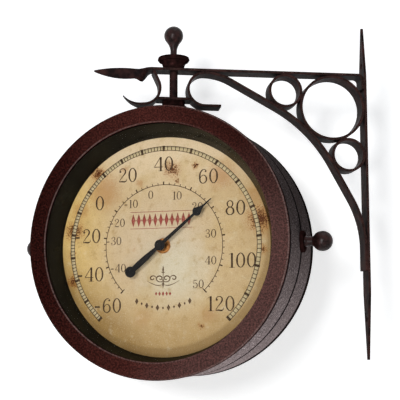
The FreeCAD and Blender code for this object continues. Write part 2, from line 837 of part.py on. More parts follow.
def make_reveal(label, side):
    """Conical inner wall from the lens down to the dial, with a locating flange in the bezel skirt."""
    mouth = bezel_opening_radius + s.dial_sink
    top = lens_back - s.weld_gap
    floor = dial_face + s.weld_gap
    wall = s.reveal_wall
    flange = skirt_bore - s.fit_gap - s.dial_sink
    body = turned(label, "XY_Plane", [
        (mouth, top * side), (dial_opening_radius, floor * side),
        (dial_opening_radius + wall * 3, floor * side),
        (dial_opening_radius + wall * 3, (floor + wall) * side),
        (dial_opening_radius + wall * 2, (floor + wall) * side),
        (mouth + wall * 1.4, (top - wall) * side), (flange, (top - wall) * side), (flange, top * side),
    ])
    hang_on_dial_axis(body)


def make_lens(label, side):
    body = turned(label, "XY_Plane", [
        (zero, lens_back * side), (lens_radius, lens_back * side), (lens_radius, lens_front * side),
        (zero, lens_front * side),
    ])
    hang(body)


def make_dial(label, side, hole_radius):
    back = dial_face - s.dial_thickness
    body = turned(label, "XY_Plane", [
        (hole_radius, back * side), (dial_radius, back * side), (dial_radius, dial_face * side),
        (hole_radius, dial_face * side),
    ])
    hang_on_dial_axis(body)


def make_dial_spacers():
    """Posts that hold the two dials apart, in one node."""
    body = new_body("dial_spacers")
    sketch = new_sketch(body, "spacer_outline", "XZ_Plane")
    radius = dial_opening_radius - s.spacer_inset
    for index in range(spacer_count):
        angle = math.radians(spacer_first_angle + 360 * index / spacer_count)
        add_circle(sketch, radius * math.cos(angle), radius * math.sin(angle), s.spacer_diameter / 2)
    length = (dial_face - s.dial_thickness - s.weld_gap) * 2
    pad(body, sketch, length, both_ways=True)
    hang_on_dial_axis(body)


bushing_bore = s.shaft_diameter / 2 + s.running_gap
post_radius = s.post_diameter / 2
make_shell("front_shell", -1)
make_shell("rear_shell", 1)
make_seam_band()
make_bezel("front_bezel", -1)
make_bezel("rear_bezel", 1)
make_reveal("front_reveal", -1)
make_reveal("rear_reveal", 1)
make_lens("front_lens", -1)
make_lens("rear_lens", 1)
bushing_stem = s.bushing_radius / 2
make_dial("thermometer_dial", -1, bushing_stem + s.fit_gap)
make_dial("clock_dial", 1, post_radius + s.fit_gap)
make_dial_spacers()


# Side knobs

def make_knob(label, side):
    foot = barrel_radius + s.flange_thickness + s.weld_gap
    stud_end = band_bore - s.nut_height
    neck = s.knob_neck_diameter / 2
    ball_x = barrel_radius + s.knob_reach
    outline = ball_outline(foot, ball_x, s.flange_diameter / 4, s.finial_foot_height, neck, zero, zero)
    stud = s.stud_diameter / 2
    # the stud is part of the knob: it runs from the foot in through shell and band
    outline = [(zero, stud_end), (stud, stud_end), (stud, foot)] + outline[1:7]
    body = turned(label, "XY_Plane", [(p[1] * side, p[0]) + mirrored_arc(p, side) for p in outline], "H_Axis")
    hang(body)


def mirrored_arc(point, side):
    """The same arc once x and y change places, and once more when x is reversed."""
    if len(point) == 2:
        return ()
    radius, left, major = point[2:]
    return (radius, (not left) if side > 0 else left, major)


def make_flange(label, side):
    inner = barrel_radius - s.flange_thickness
    outer = barrel_radius + s.flange_thickness
    edge = s.bezel_edge_round
    wide = s.flange_diameter / 2
    bore = s.stud_diameter / 2 + s.fit_gap
    body = turned(label, "XY_Plane", [
        (inner * side, bore), (inner * side, wide), ((outer - edge) * side, wide),
        (outer * side, wide - edge), (outer * side, bore),
    ], "H_Axis")
    saddle = new_sketch(body, label + "_saddle", "XZ_Plane")
    add_circle(saddle, zero, zero, barrel_radius + s.weld_gap)
    pocket(body, saddle)
    hang(body)


def make_knob_nuts():
    body = new_body("knob_nuts")
    for side in (1, -1):
        sketch = new_sketch(body, "knob_nut_%d" % (side + 1), "YZ_Plane",
                            (band_bore - s.weld_gap * 4) * side)
        add_outline(sketch, hexagon(s.stud_diameter * 1.75))
        add_circle(sketch, zero, zero, s.stud_diameter / 2 + s.fit_gap)
        pad(body, sketch, s.stud_diameter * 0.8, backwards=side > 0)
    hang(body)


make_knob("right_knob", 1)
make_knob("left_knob", -1)
make_flange("right_knob_flange", 1)
make_flange("left_knob_flange", -1)
make_knob_nuts()


# Thermometer works. Depths are along the drum axis, minus towards the front.

dial_back = dial_face - s.dial_thickness
bushing_front = dial_face + s.bushing_height
face_room = lens_back - dial_face
pointer_back = dial_face + face_room * pointer_level_share
pointer_length = dial_opening_radius * pointer_length_share
pointer_head_place = dial_opening_radius * pointer_head_share
pointer_tail = dial_opening_radius * pointer_tail_share
coil_front = dial_back - s.coil_gap_behind_dial
coil_back = coil_front - s.coil_strip_width
bridge_front = coil_back - s.coil_gap_behind_dial


def make_dial_bushing():
    body = turned("dial_bushing", "XY_Plane", [
        (bushing_bore, -coil_front - s.thrust_gap), (bushing_stem, -coil_front - s.thrust_gap),
        (bushing_stem, -dial_face - s.weld_gap), (s.bushing_radius, -dial_face - s.weld_gap),
        (s.bushing_radius, -bushing_front + s.bushing_height / 3),
        (s.bushing_radius - s.bushing_height / 3, -bushing_front), (bushing_bore, -bushing_front),
    ])
    hang_on_dial_axis(body)


def make_pointer_shaft():
    radius = s.shaft_diameter / 2
    front = pointer_back - s.weld_gap
    back = bridge_front + s.thrust_gap
    collet = s.coil_start_radius - s.coil_strip_thickness / 2 - s.thrust_gap
    body = turned("pointer_shaft", "XY_Plane", [
        (zero, -front), (radius, -front), (radius, -coil_front), (collet, -coil_front),
        (collet, -coil_back), (radius, -coil_back), (radius, -back), (zero, -back),
    ])
    hang_on_dial_axis(body)


def make_pointer():
    """Leaf arrow with a hub and a counterweight disc, laid along its own direction."""
    body = new_body("thermometer_pointer")
    sketch = new_sketch(body, "pointer_outline", "XZ_Plane", pointer_back)
    stem = s.pointer_stem_width / 2
    broad = s.pointer_tail_width / 2
    head = s.pointer_head_width / 2
    along = math.radians(sheet.get("pointer_angle"))

    def turned_point(distance, side):
        x = distance * math.cos(along) - side * math.sin(along)
        z = distance * math.sin(along) + side * math.cos(along)
        return (x, z)

    tail = -pointer_tail
    half_outline = [(tail * far, broad * wide) for far, wide in tail_outline_shares]
    half_outline.append((s.pointer_hub_radius, stem * pointer_root_share))
    half_outline += [(pointer_head_place + s.pointer_head_width * far, head * wide)
                     for far, wide in head_outline_shares]
    half_outline.append((pointer_length, stem * pointer_tip_share))
    add_outline(sketch, [turned_point(d, -w) for d, w in half_outline]
                + [turned_point(d, w) for d, w in half_outline[::-1]])
    pad(body, sketch, s.pointer_thickness)
    for name, place, radius in (("pointer_hub", zero, s.pointer_hub_radius),
                                ("pointer_disc", tail, s.tail_disc_radius)):
        disc = new_sketch(body, name, "XZ_Plane", pointer_back)
        add_circle(disc, *turned_point(place, zero), radius)
        pad(body, disc, s.pointer_thickness * 1.6)
    hang_on_dial_axis(body)


def make_bimetal_coil():
    """Flat spiral strip. Its curve is halves of circles whose radius grows by half a pitch a half turn."""
    pitch = s.coil_pitch.value
    half = s.coil_strip_thickness.value / 2
    rows = []
    for offset in (half, -half):
        edges = []
        radius = s.coil_start_radius.value
        centre = 0.0
        side = 1
        for turn in range(2 * coil_turns):
            r = radius + offset
            start = FreeCAD.Vector(centre + side * r, 0, 0)
            top = FreeCAD.Vector(centre, 0, side * r)
            end = FreeCAD.Vector(centre - side * r, 0, 0)
            edges.append(Part.Arc(start, top, end).toShape())
            centre = centre + side * pitch / 2
            radius = radius + pitch / 2
            side = -side
        rows.append(edges)
    outer, inner = rows
    caps = [Part.makeLine(outer[0].Vertexes[0].Point, inner[0].Vertexes[0].Point),
            Part.makeLine(outer[-1].Vertexes[-1].Point, inner[-1].Vertexes[-1].Point)]
    wire = Part.Wire(Part.__sortEdges__(outer + inner + caps))
    face = Part.Face(wire)
    face.translate(FreeCAD.Vector(0, -coil_front.value, 0))
    piece = feature_from("bimetal_coil", face.extrude(FreeCAD.Vector(0, s.coil_strip_width.value, 0)))
    hang_on_dial_axis(piece)
    print("coil: least gap between turns %.2f mm" % (pitch - s.coil_strip_thickness.value))


coil_reach = s.coil_start_radius + s.coil_pitch * coil_turns
coil_post_radius = s.coil_pitch * 0.6
coil_post_place = coil_reach + s.coil_strip_thickness + coil_post_radius
bridge_half_length = coil_post_place + s.bridge_width * 1.2


def make_coil_post():
    """Pin from the bridge that holds the outer end of the coil."""
    body = new_body("coil_post")
    sketch = new_sketch(body, "coil_post_outline", "XZ_Plane", bridge_front + s.weld_gap)
    add_circle(sketch, coil_post_place, zero, coil_post_radius)
    pad(body, sketch, s.coil_strip_width + s.coil_gap_behind_dial)
    hang_on_dial_axis(body)


def make_coil_bridge():
    """Bar across the back of the coil, carried by two legs from the back of the dial."""
    body = new_body("coil_bridge")
    half = bridge_half_length
    wide = s.bridge_width / 2
    bar = new_sketch(body, "bridge_bar", "XZ_Plane", bridge_front)
    add_outline(bar, [(-half, -wide), (half, -wide), (half, wide), (-half, wide)])
    pad(body, bar, s.bridge_thickness, backwards=True)
    legs = new_sketch(body, "bridge_legs", "XZ_Plane", bridge_front)
    for side in (1, -1):
        add_circle(legs, (half - wide) * side, zero, wide * 0.7)
    pad(body, legs, dial_back - bridge_front - s.weld_gap)
    hang_on_dial_axis(body)


make_dial_bushing()
make_pointer_shaft()
make_pointer()
make_bimetal_coil()
make_coil_post()
make_coil_bridge()


# Clock works, behind the clock dial. Depths are along the drum axis, plus towards the rear.

washer_thickness_clock = s.movement_wall / 2
case_front = dial_back - washer_thickness_clock - s.weld_gap * 2
movement_depth = s.battery_diameter + s.battery_play + s.movement_wall + s.movement_lid_thickness
case_back = case_front - movement_depth
cavity_back = case_back + s.movement_lid_thickness
post_top = dial_face + face_room * post_level_share
hour_back = dial_face + face_room * hour_hand_level_share
minute_back = dial_face + face_room * minute_hand_level_share
minute_hand_length = dial_opening_radius * minute_hand_share
hour_hand_length = dial_opening_radius * hour_hand_share
hand_tail = dial_opening_radius * hand_tail_share
arbor_radius = s.arbor_diameter / 2
tube_radius = s.tube_diameter / 2
arbor_end = case_front - s.movement_wall * 2
battery_x = s.movement_width / 2 - s.movement_wall - s.battery_diameter / 2 - s.fit_gap * 4


def make_movement_case():
    """Open box with its floor against the dial and a lid behind."""
    body = new_body("movement_case")
    half = s.movement_width / 2
    block = new_sketch(body, "case_block", "XZ_Plane", -case_front)
    add_outline(block, [(-half, -half), (half, -half), (half, half), (-half, half)])
    pad(body, block, movement_depth - s.movement_lid_thickness)
    inner = half - s.movement_wall
    hollow = new_sketch(body, "case_hollow", "XZ_Plane", -(case_front - s.movement_wall))
    add_outline(hollow, [(-inner, -inner), (inner, -inner), (inner, inner), (-inner, inner)])
    feature = body.newObject("PartDesign::Pocket", "case_hollow_cut")
    feature.Profile = hollow
    feature.Type = "ThroughAll"
    feature.Reversed = True
    body.Tip = feature
    bore = new_sketch(body, "case_bore", "XZ_Plane")
    add_circle(bore, zero, zero, post_radius + s.fit_gap)
    pocket(body, bore)
    hang_on_dial_axis(body)


def make_movement_lid():
    body = new_body("movement_lid")
    half = s.movement_width / 2
    sketch = new_sketch(body, "lid_outline", "XZ_Plane", -(cavity_back - s.weld_gap))
    add_outline(sketch, [(-half, -half), (half, -half), (half, half), (-half, half)])
    add_circle(sketch, zero, zero, s.setting_wheel_diameter / 2 + s.thrust_gap)
    pad(body, sketch, s.movement_lid_thickness)
    hang_on_dial_axis(body)


def make_movement_post():
    """Threaded post with a flange inside the case; the hour tube turns in it."""
    bore = tube_radius + s.running_gap
    flange = post_radius + s.movement_wall
    floor = case_front - s.movement_wall - s.weld_gap
    body = turned("movement_post", "XY_Plane", [
        (bore, floor - s.movement_wall), (flange, floor - s.movement_wall), (flange, floor),
        (post_radius, floor), (post_radius, post_top), (bore, post_top),
    ])
    hang_on_dial_axis(body)


def make_movement_washer():
    body = turned("movement_washer", "XY_Plane", [
        (post_radius + s.fit_gap, dial_back - s.weld_gap - washer_thickness_clock),
        (s.post_diameter, dial_back - s.weld_gap - washer_thickness_clock),
        (s.post_diameter, dial_back - s.weld_gap), (post_radius + s.fit_gap, dial_back - s.weld_gap),
    ])
    hang_on_dial_axis(body)


def make_movement_nut():
    body = new_body("movement_nut")
    sketch = new_sketch(body, "movement_nut_outline", "XZ_Plane", -(dial_face + s.weld_gap))
    add_outline(sketch, hexagon(s.movement_nut_width))
    add_circle(sketch, zero, zero, post_radius + s.fit_gap)
    pad(body, sketch, s.movement_nut_height, backwards=True)
    hang_on_dial_axis(body)


def make_battery():
    radius = s.battery_diameter / 2
    half = s.battery_length / 2 - s.contact_thickness * 3
    nub = s.battery_diameter / 5
    middle = (case_front - s.movement_wall + cavity_back) / 2
    body = new_body("battery")
    can = new_sketch(body, "battery_can", "XY_Plane", -half)
    add_circle(can, battery_x, middle, radius)
    pad(body, can, half * 2 - s.contact_thickness * 3)
    tip = new_sketch(body, "battery_tip", "XY_Plane", half - s.contact_thickness * 3)
    add_circle(tip, battery_x, middle, nub)
    pad(body, tip, s.contact_thickness * 3)
    hang_on_dial_axis(body)


def make_battery_contacts():
    body = new_body("battery_contacts")
    wide = s.contact_width / 2
    middle = (case_front - s.movement_wall + cavity_back) / 2
    for index, side in enumerate((1, -1)):
        level = (s.battery_length / 2 - s.contact_thickness * 2) * side
        leaf = new_sketch(body, "contact_leaf_%d" % index, "XY_Plane", level)
        add_outline(leaf, [
            (battery_x - wide, middle - wide * 0.8), (battery_x + wide, middle - wide * 0.8),
            (battery_x + wide, middle + wide * 0.8), (battery_x - wide, middle + wide * 0.8),
        ])
        pad(body, leaf, s.contact_thickness, backwards=side < 0)
    hang_on_dial_axis(body)


def hand_outline(sketch, length, angle_degrees, width):
    angle = math.radians(angle_degrees)

    def at(distance, side):
        # the clock side is seen from behind, so its right is the drum's left
        x = -(distance * math.sin(angle) + side * math.cos(angle))
        z = distance * math.cos(angle) - side * math.sin(angle)
        return (x, z)

    half = width / 2
    add_outline(sketch, [
        at(-hand_tail, half * -0.6), at(length * 0.35, half * -0.4),
        at(length * hand_belly_share, -half), at(length, half * -0.1),
        at(length, half * 0.1), at(length * hand_belly_share, half),
        at(length * 0.35, half * 0.4), at(-hand_tail, half * 0.6),
    ])


def make_hour_hand():
    body = new_body("hour_hand")
    blade = new_sketch(body, "hour_blade", "XZ_Plane", -hour_back)
    hand_outline(blade, hour_hand_length, hour_hand_angle, s.hand_width * 1.3)
    pad(body, blade, s.hand_thickness, backwards=True)
    hub = new_sketch(body, "hour_hub", "XZ_Plane", -hour_back)
    add_circle(hub, zero, zero, s.hand_hub_radius)
    pad(body, hub, s.hand_thickness, backwards=True)
    tube_start = arbor_end + s.movement_wall
    tube = new_sketch(body, "hour_tube", "XZ_Plane", -tube_start)
    add_circle(tube, zero, zero, tube_radius)
    pad(body, tube, hour_back - tube_start + s.hand_thickness, backwards=True)
    bore = new_sketch(body, "hour_bore", "XZ_Plane")
    add_circle(bore, zero, zero, arbor_radius + s.running_gap)
    pocket(body, bore)
    hang_on_dial_axis(body)


def make_minute_hand():
    body = new_body("minute_hand")
    blade = new_sketch(body, "minute_blade", "XZ_Plane", -minute_back)
    hand_outline(blade, minute_hand_length, minute_hand_angle, s.hand_width)
    pad(body, blade, s.hand_thickness, backwards=True)
    hub = new_sketch(body, "minute_hub", "XZ_Plane", -minute_back)
    add_circle(hub, zero, zero, s.hand_hub_radius * 0.9)
    pad(body, hub, s.hand_thickness, backwards=True)
    arbor = new_sketch(body, "minute_arbor", "XZ_Plane", -arbor_end)
    add_circle(arbor, zero, zero, arbor_radius)
    pad(body, arbor, minute_back - arbor_end + s.hand_thickness + s.hand_nut_height * 0.7, backwards=True)
    hang_on_dial_axis(body)


def make_hand_nut():
    base = minute_back + s.hand_thickness + s.weld_gap
    radius = s.hand_nut_diameter / 2
    body = turned("hand_nut", "XY_Plane", [
        (arbor_radius + s.fit_gap, base), (radius, base), (radius, base + s.hand_nut_height * 0.6),
        (radius * 0.7, base + s.hand_nut_height), (zero, base + s.hand_nut_height),
        (zero, base + s.hand_nut_height * 0.8), (arbor_radius + s.fit_gap, base + s.hand_nut_height * 0.8),
    ])
    hang_on_dial_axis(body)


def make_setting_wheel():
    """Thumb wheel in the lid, in line with the arbor."""
    front = arbor_end - s.thrust_gap
    back = case_back - s.setting_wheel_height
    radius = s.setting_wheel_diameter / 2
    body = turned("setting_wheel", "XY_Plane", [
        (zero, back), (radius * 0.85, back), (radius, back + s.setting_wheel_height * 0.2),
        (radius, cavity_back), (radius * 0.4, cavity_back), (radius * 0.4, front), (zero, front),
    ])
    hang_on_dial_axis(body)


make_movement_case()
make_movement_lid()
make_movement_post()
make_movement_washer()
make_movement_nut()
make_battery()
make_battery_contacts()
make_hour_hand()
make_minute_hand()
make_hand_nut()
make_setting_wheel()

doc.recompute()

# Nothing is written unless every object is sound
for item in doc.Objects:
    if "Invalid" in item.State or "Error" in item.State:
        raise RuntimeError(f"{item.Name} failed: {item.State} {item.getStatusString()}")
for piece in subparts:
    if piece.Shape.isNull() or not piece.Shape.isValid():
        raise RuntimeError(f"{piece.Label} has no sound shape")
for piece in subparts:
    piece.Shape.exportStep(f"parts/{piece.Label}.step")
print(len(subparts), "nodes written")
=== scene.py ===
"""Looks of a double-sided wall clock with thermometer on a wrought bracket."""

import json
import math
from contextlib import contextmanager
from functools import partial

import bpy
from mathutils import Matrix, Vector


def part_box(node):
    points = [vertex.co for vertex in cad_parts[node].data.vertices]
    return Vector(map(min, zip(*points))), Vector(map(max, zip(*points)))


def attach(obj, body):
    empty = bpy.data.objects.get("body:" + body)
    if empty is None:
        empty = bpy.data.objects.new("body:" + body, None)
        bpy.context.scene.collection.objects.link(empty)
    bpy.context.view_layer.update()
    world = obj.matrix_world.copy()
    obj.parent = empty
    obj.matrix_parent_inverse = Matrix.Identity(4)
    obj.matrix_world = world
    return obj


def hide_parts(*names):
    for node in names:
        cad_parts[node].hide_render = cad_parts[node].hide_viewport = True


bl_info = {
    "name": "Wall clock with thermometer",
    "version": (1, 0, 0),
    "blender": (4, 5, 0),
    "location": "View3D > Sidebar > Wall clock",
    "description": "Finishes, dial prints, stage and camera of a wall clock with thermometer",
    "category": "Object",
}

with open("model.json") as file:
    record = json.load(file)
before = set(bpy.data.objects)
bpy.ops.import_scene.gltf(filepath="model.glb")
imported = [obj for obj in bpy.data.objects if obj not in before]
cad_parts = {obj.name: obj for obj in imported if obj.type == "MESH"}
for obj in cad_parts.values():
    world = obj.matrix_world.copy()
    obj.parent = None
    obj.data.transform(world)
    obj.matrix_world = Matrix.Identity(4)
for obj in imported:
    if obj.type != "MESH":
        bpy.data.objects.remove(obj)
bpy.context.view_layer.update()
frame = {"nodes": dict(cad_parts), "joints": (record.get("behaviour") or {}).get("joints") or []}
nodes = frame["nodes"]

MM = 0.001
SWING = next(j["axis"] for j in frame["joints"] if j["name"] == "thermometer_pointer")
TURN = -math.atan2(SWING[0], SWING[1])  # the drum at rest is turned this far about its rod

# Measures of the part that the finishes follow, in millimetres.
STRAP_HALF_WIDTH = 9.5
BEZEL_SHOULDER = 50.0  # where the rounded rim turns into the side, from the drum's middle
EDGE_HIGHLIGHT_INSIDE, EDGE_HIGHLIGHT_OUTSIDE = 15.5, 0.9  # the bezel's painted edge highlights, in from its rim
SEAM_GROOVES = ((0.0, 2.6), (46.0, 3.0))  # distance from the middle and reach of the painted groove shade

# Angles between faces of straps and hands: up to FLAT they are joined, from SHARP on their edge is
# rounded, and up to SMOOTH they are shaded as one.
FLAT, SHARP, SMOOTH = math.radians(0.4), math.radians(32), math.radians(38)

# Printing.
INK = 0.02 * MM  # thickness of the ink
LAYER = 0.01 * MM  # one drawn line over another
STROKE_LAYER = 0.012 * MM  # one stroke of a numeral over another
BAND_LEVEL = 0.7  # height of the cream band, as a share of the ink's
ARC_STEPS = 96
LETTER_GAP = 60  # thousandths of a numeral's height
CELLS = 7  # between two bold ticks of the outer scale, as they count in the photo
COLD_STEP, WARM_STEP = math.radians(13.7), math.radians(17.1)  # ten degrees, left and right
INNER_REACH = math.radians(136)  # how far the inner scale runs to each side of the top
INNER_STEPS = 50
SCROLL_HEIGHT = -29  # millimetres above the hub

# Pen strokes of the numerals, in thousandths of their height: x, y and half width of the stroke
# at each point.
THICK, THIN = 68, 24


def oval(x, y, wide, high, heavy=THICK):
    """A closed stroke, heavy at its sides and fine at top and bottom."""
    return ("loop", [(x + wide * math.cos(a), y + high * math.sin(a),
                      THIN + (heavy - THIN) * math.cos(a) ** 2)
                     for a in (math.radians(45 * step) for step in range(8))])


def ball(x, y, radius=60):
    """The round end of a stroke."""
    return ("line", [(x + radius * along, y, max(radius * half, 4)) for along, half in (
        (-1, 0), (-0.8, 0.6), (-0.3, 0.95), (0.3, 0.95), (0.8, 0.6), (1, 0))])


def serif(x, y, reach):
    """A short bar across the end of a stem, swelling at its middle."""
    return ("line", [(x + reach * along, y, half) for along, half in (
        (-1, 10), (-0.5, 14), (0, 24), (0.5, 14), (1, 10))])


def stem(x):
    """A heavy upright of full height."""
    return ("line", [(x, 0, THICK), (x, 1000, THICK)])


NUMERALS = {
    "0": (560, [oval(250, 500, 185, 483)]),
    "1": (400, [stem(200), serif(200, 12, 150),
                ("line", [(200, 985, 15), (130, 940, 14), (50, 900, 10)])]),
    "2": (550, [("curve", [(100, 740, 45), (100, 870, 30), (240, 983, THIN), (385, 870, 46),
                           (390, 700, 56), (280, 470, 34), (130, 220, 20), (60, 40, 18)]),
                ball(115, 755),
                ("curve", [(50, 35, 20), (200, 55, 50), (360, 40, 52), (450, 100, 26),
                           (475, 240, 10)])]),
    "3": (540, [("curve", [(90, 800, 40), (130, 940, 20), (240, 983, THIN), (370, 880, 45),
                           (380, 730, 50), (300, 570, 22), (170, 535, THIN)]),
                ("curve", [(170, 530, THIN), (330, 490, 26), (420, 330, 56), (400, 130, 46),
                           (240, 17, THIN), (100, 60, 20), (70, 180, 34)]), ball(105, 810, 52),
                ball(95, 190)]),
    "4": (570, [("line", [(355, 985, THIN), (20, 285, THIN)]),
                ("line", [(20, 285, THIN), (500, 285, THIN)]), stem(375), serif(375, 12, 140)]),
    "5": (540, [("line", [(115, 975, THIN), (105, 530, THIN)]),
                ("curve", [(110, 960, 20), (220, 935, 45), (340, 945, 36), (420, 990, 8)]),
                ("curve", [(105, 535, THIN), (240, 620, 22), (390, 500, 48), (420, 310, 56),
                           (360, 100, 42), (220, 17, THIN), (90, 70, 20), (65, 180, 34)]),
                ball(90, 190)]),
    "6": (560, [("curve", [(410, 850, 36), (380, 940, 20), (290, 983, THIN), (150, 860, 42),
                           (75, 580, 56), (75, 320, 56), (130, 90, 36), (250, 17, THIN),
                           (380, 100, 40), (430, 300, 56), (380, 500, 38), (270, 585, THIN),
                           (150, 500, THIN), (100, 380, THIN)]), ball(385, 850, 52)]),
    "8": (560, [oval(250, 765, 145, 218, 48), oval(250, 272, 185, 257)]),
    "-": (400, [("line", [(-20, 400, 58), (260, 400, 58)])]),
    "I": (340, [stem(170), serif(170, 12, 140), serif(170, 988, 140)]),
    "V": (660, [("line", [(120, 985, THICK), (330, 20, THICK)]),
                ("line", [(340, 20, THIN), (560, 985, THIN)]), serif(120, 988, 120),
                serif(560, 988, 100)]),
    "X": (680, [("line", [(130, 985, THICK), (550, 15, THICK)]),
                ("line", [(560, 985, THIN), (120, 15, THIN)]), serif(130, 988, 110),
                serif(560, 988, 100), serif(120, 12, 100), serif(550, 12, 110)]),
}

# Where the numerals stand round the thermometer dial: degrees clockwise from the top.
FAHRENHEIT = {40: 0, 60: 34.6, 80: 64.4, 100: 101, 120: 134, 20: -28, 0: -56.6, -20: -81.6,
              -40: -109, -60: -135}
# Where the small inner numerals stand, in millimetres from the pointer's axis.
CELSIUS = {-40: (-44.5, -19.7), -30: (-49.2, 5.9), -20: (-45.9, 22.9), -10: (-32.2, 40.4),
           0: (-12.7, 48.3), 10: (13.3, 46.6), 20: (33.1, 35.6), 30: (45.9, 10.3),
           40: (45.9, -14.2), 50: (34.0, -35.5)}
HOURS = ("XII", "I", "II", "III", "IIII", "V", "VI", "VII", "VIII", "IX", "X", "XI")
# Rust stains on the thermometer dial: x, z, radius in millimetres and strength.
STAINS = ((-66.5, 70.6, 7, 1.0), (-59.6, 53.2, 17, 0.55), (8.5, 71.1, 8, 0.85),
          (31.1, 74.1, 3, 1.0), (-38.9, 73.4, 4, 0.55), (13.4, 60.6, 3, 0.7),
          (-23.1, 59.6, 4, 0.5), (56.8, 64.2, 13, 0.55), (92.8, 22, 13, 0.9),
          (94.7, -5.1, 4, 0.85), (-90.4, 16.5, 10, 0.9), (-92.1, -5.5, 4, 0.9),
          (-90.8, -31.6, 6, 0.85), (36.2, -73.4, 3, 0.9), (44, -63.3, 8, 0.35),
          (-28.8, -2.3, 2.5, 0.4), (86, 44, 9, 0.35), (-20, -66, 9, 0.25), (-84, 36, 9, 0.5))


def linear(code):
    """A colour written as sRGB hex, as linear light."""
    parts = [int(code[i:i + 2], 16) / 255 for i in (1, 3, 5)]
    return tuple(c / 12.92 if c <= 0.04045 else ((c + 0.055) / 1.055) ** 2.4 for c in parts) + (1,)


def length_property(name, description, millimetres):
    return bpy.props.FloatProperty(name=name, description=description, default=millimetres * MM,
                                   unit="LENGTH", precision=6)


def colour_property(name, description, code):
    return bpy.props.FloatVectorProperty(name=name, description=description, default=linear(code),
                                         size=4, min=0, max=1, subtype="COLOR")


class ClockSizes(bpy.types.PropertyGroup):
    """Sizes that someone who restyles the clock would change."""
    strap_edge: length_property("Strap edge", "Rounding of the straps' long edges", 0.4)
    hand_edge: length_property("Hand edge", "Rounding of the pointer's and hands' edges", 0.12)
    print_height: length_property("Print height", "How far the ink stands above the dial", 0.06)
    outer_numeral: length_property("Outer numerals", "Height of the outer numerals", 13.3)
    inner_numeral: length_property("Inner numerals", "Height of the inner numerals", 7.6)
    outer_numeral_radius: length_property(
        "Outer numeral circle", "Radius on which the outer numerals stand", 77)
    band_radius: length_property("Scale band", "Outer radius of the banded scale", 93.6)
    band_width: length_property("Scale band width", "Width of the banded scale", 3.9)
    inner_circle: length_property("Inner scale", "Radius of the inner scale line", 57.3)
    scale_reach: bpy.props.FloatProperty(
        name="Scale reach", description="How far the scales run to each side of the top",
        default=math.radians(137), subtype="ANGLE")
    hour_numeral: length_property("Hour numerals", "Height of the hour numerals", 17)
    hour_numeral_radius: length_property(
        "Hour numeral circle", "Radius on which the hour numerals stand", 75)


class ClockColours(bpy.types.PropertyGroup):
    """Main colours of the finishes."""
    bracket_dark: colour_property("Bracket", "Paint of the straps", "#171010")
    bracket_worn: colour_property("Bracket wear", "Worn brown of the straps' edges", "#4a332e")
    barrel: colour_property("Barrel", "Grained coat of the drum's barrel", "#48403f")
    bezel_dark: colour_property("Bezel dark", "Dark part of the bezel's mottle", "#0e0605")
    bezel_light: colour_property("Bezel light", "Light part of the bezel's mottle", "#2f120f")
    knob: colour_property("Knobs", "Lacquer of the ball knobs", "#2b1716")
    dial_middle: colour_property("Dial middle", "Paper tone near the hub", "#c9b393")
    dial_field: colour_property("Dial field", "Paper tone between the scales", "#c3a97e")
    dial_rim: colour_property("Dial rim", "Darker paper tone of the rim", "#a98a58")
    rust: colour_property("Rust", "Rust stains of the dial", "#431a07")
    ink: colour_property("Ink", "Brown ink of numerals and scales", "#3f2f22")
    faded_red: colour_property("Faded red", "Red ink of the ornaments", "#96443c")


# Materials. Positions and sizes in their nodes are in millimetres.

def add_node(tree, kind, inputs=(), ramp=(), **settings):
    """Adds one node. Inputs are named, or fill its shown sockets in order. Each is a value, a
    colour in hex, an output, or a node whose first shown output is linked. A ramp gives stops
    and their colours."""
    made = tree.nodes.new("ShaderNode" + kind)
    for name, value in settings.items():
        setattr(made, name, value)
    shown = [socket for socket in made.inputs if socket.enabled]
    for key, value in (inputs.items() if isinstance(inputs, dict) else zip(shown, inputs)):
        socket = made.inputs[key] if isinstance(key, str) else key
        if isinstance(value, bpy.types.Node):
            value = next(output for output in value.outputs if output.enabled)
        if isinstance(value, bpy.types.NodeSocket):
            tree.links.new(value, socket)
        else:
            socket.default_value = linear(value) if isinstance(value, str) else value
    stops = made.color_ramp.elements if ramp else ()
    for index, (place, colour) in enumerate(ramp):
        stop = stops[index] if index < len(stops) else stops.new(place)
        stop.position = place
        stop.color = linear(colour) if isinstance(colour, str) else colour
    return made


def start_material(name, centre=(0, 0, 0), turn=(0, 0, 0)):
    """An empty material, the call that adds its nodes, and where each point of the piece is,
    measured from centre."""
    made = bpy.data.materials.new(name)
    made.use_nodes = True
    made.node_tree.nodes.clear()
    add = partial(add_node, made.node_tree)
    where = add("Mapping", {"Vector": add("TexCoord").outputs["Object"], "Location": centre,
                            "Rotation": turn, "Scale": (MM, MM, MM)}, vector_type="TEXTURE")
    return made, add, where


def coat(made, add, colour, grain, smooth, rough, gloss=0.5, relief=None, ior=1.5, metal=0.0):
    """Closes a material with a surface whose roughness runs from smooth to rough as the grain
    rises."""
    sockets = {"Base Color": colour, "Metallic": metal, "IOR": ior, "Specular IOR Level": gloss,
               "Roughness": add("MapRange", (grain, 0.3, 0.7, smooth, rough))}
    if relief:
        sockets["Normal"] = relief
    add("OutputMaterial", (add("BsdfPrincipled", sockets),))
    return made


def off_middle(add, where):
    """How far each point is from the piece's middle plane."""
    return add("Math", (add("SeparateXYZ", (where,)).outputs["Y"],), operation="ABSOLUTE")


def finish_with(made, *names):
    """Gives the CAD nodes of these names the material."""
    for name in names:
        mesh_object = nodes[name]
        while len(mesh_object.material_slots) < 1:
            mesh_object.data.materials.append(None)
        for held in mesh_object.material_slots:
            held.link = "OBJECT"
            held.material = made


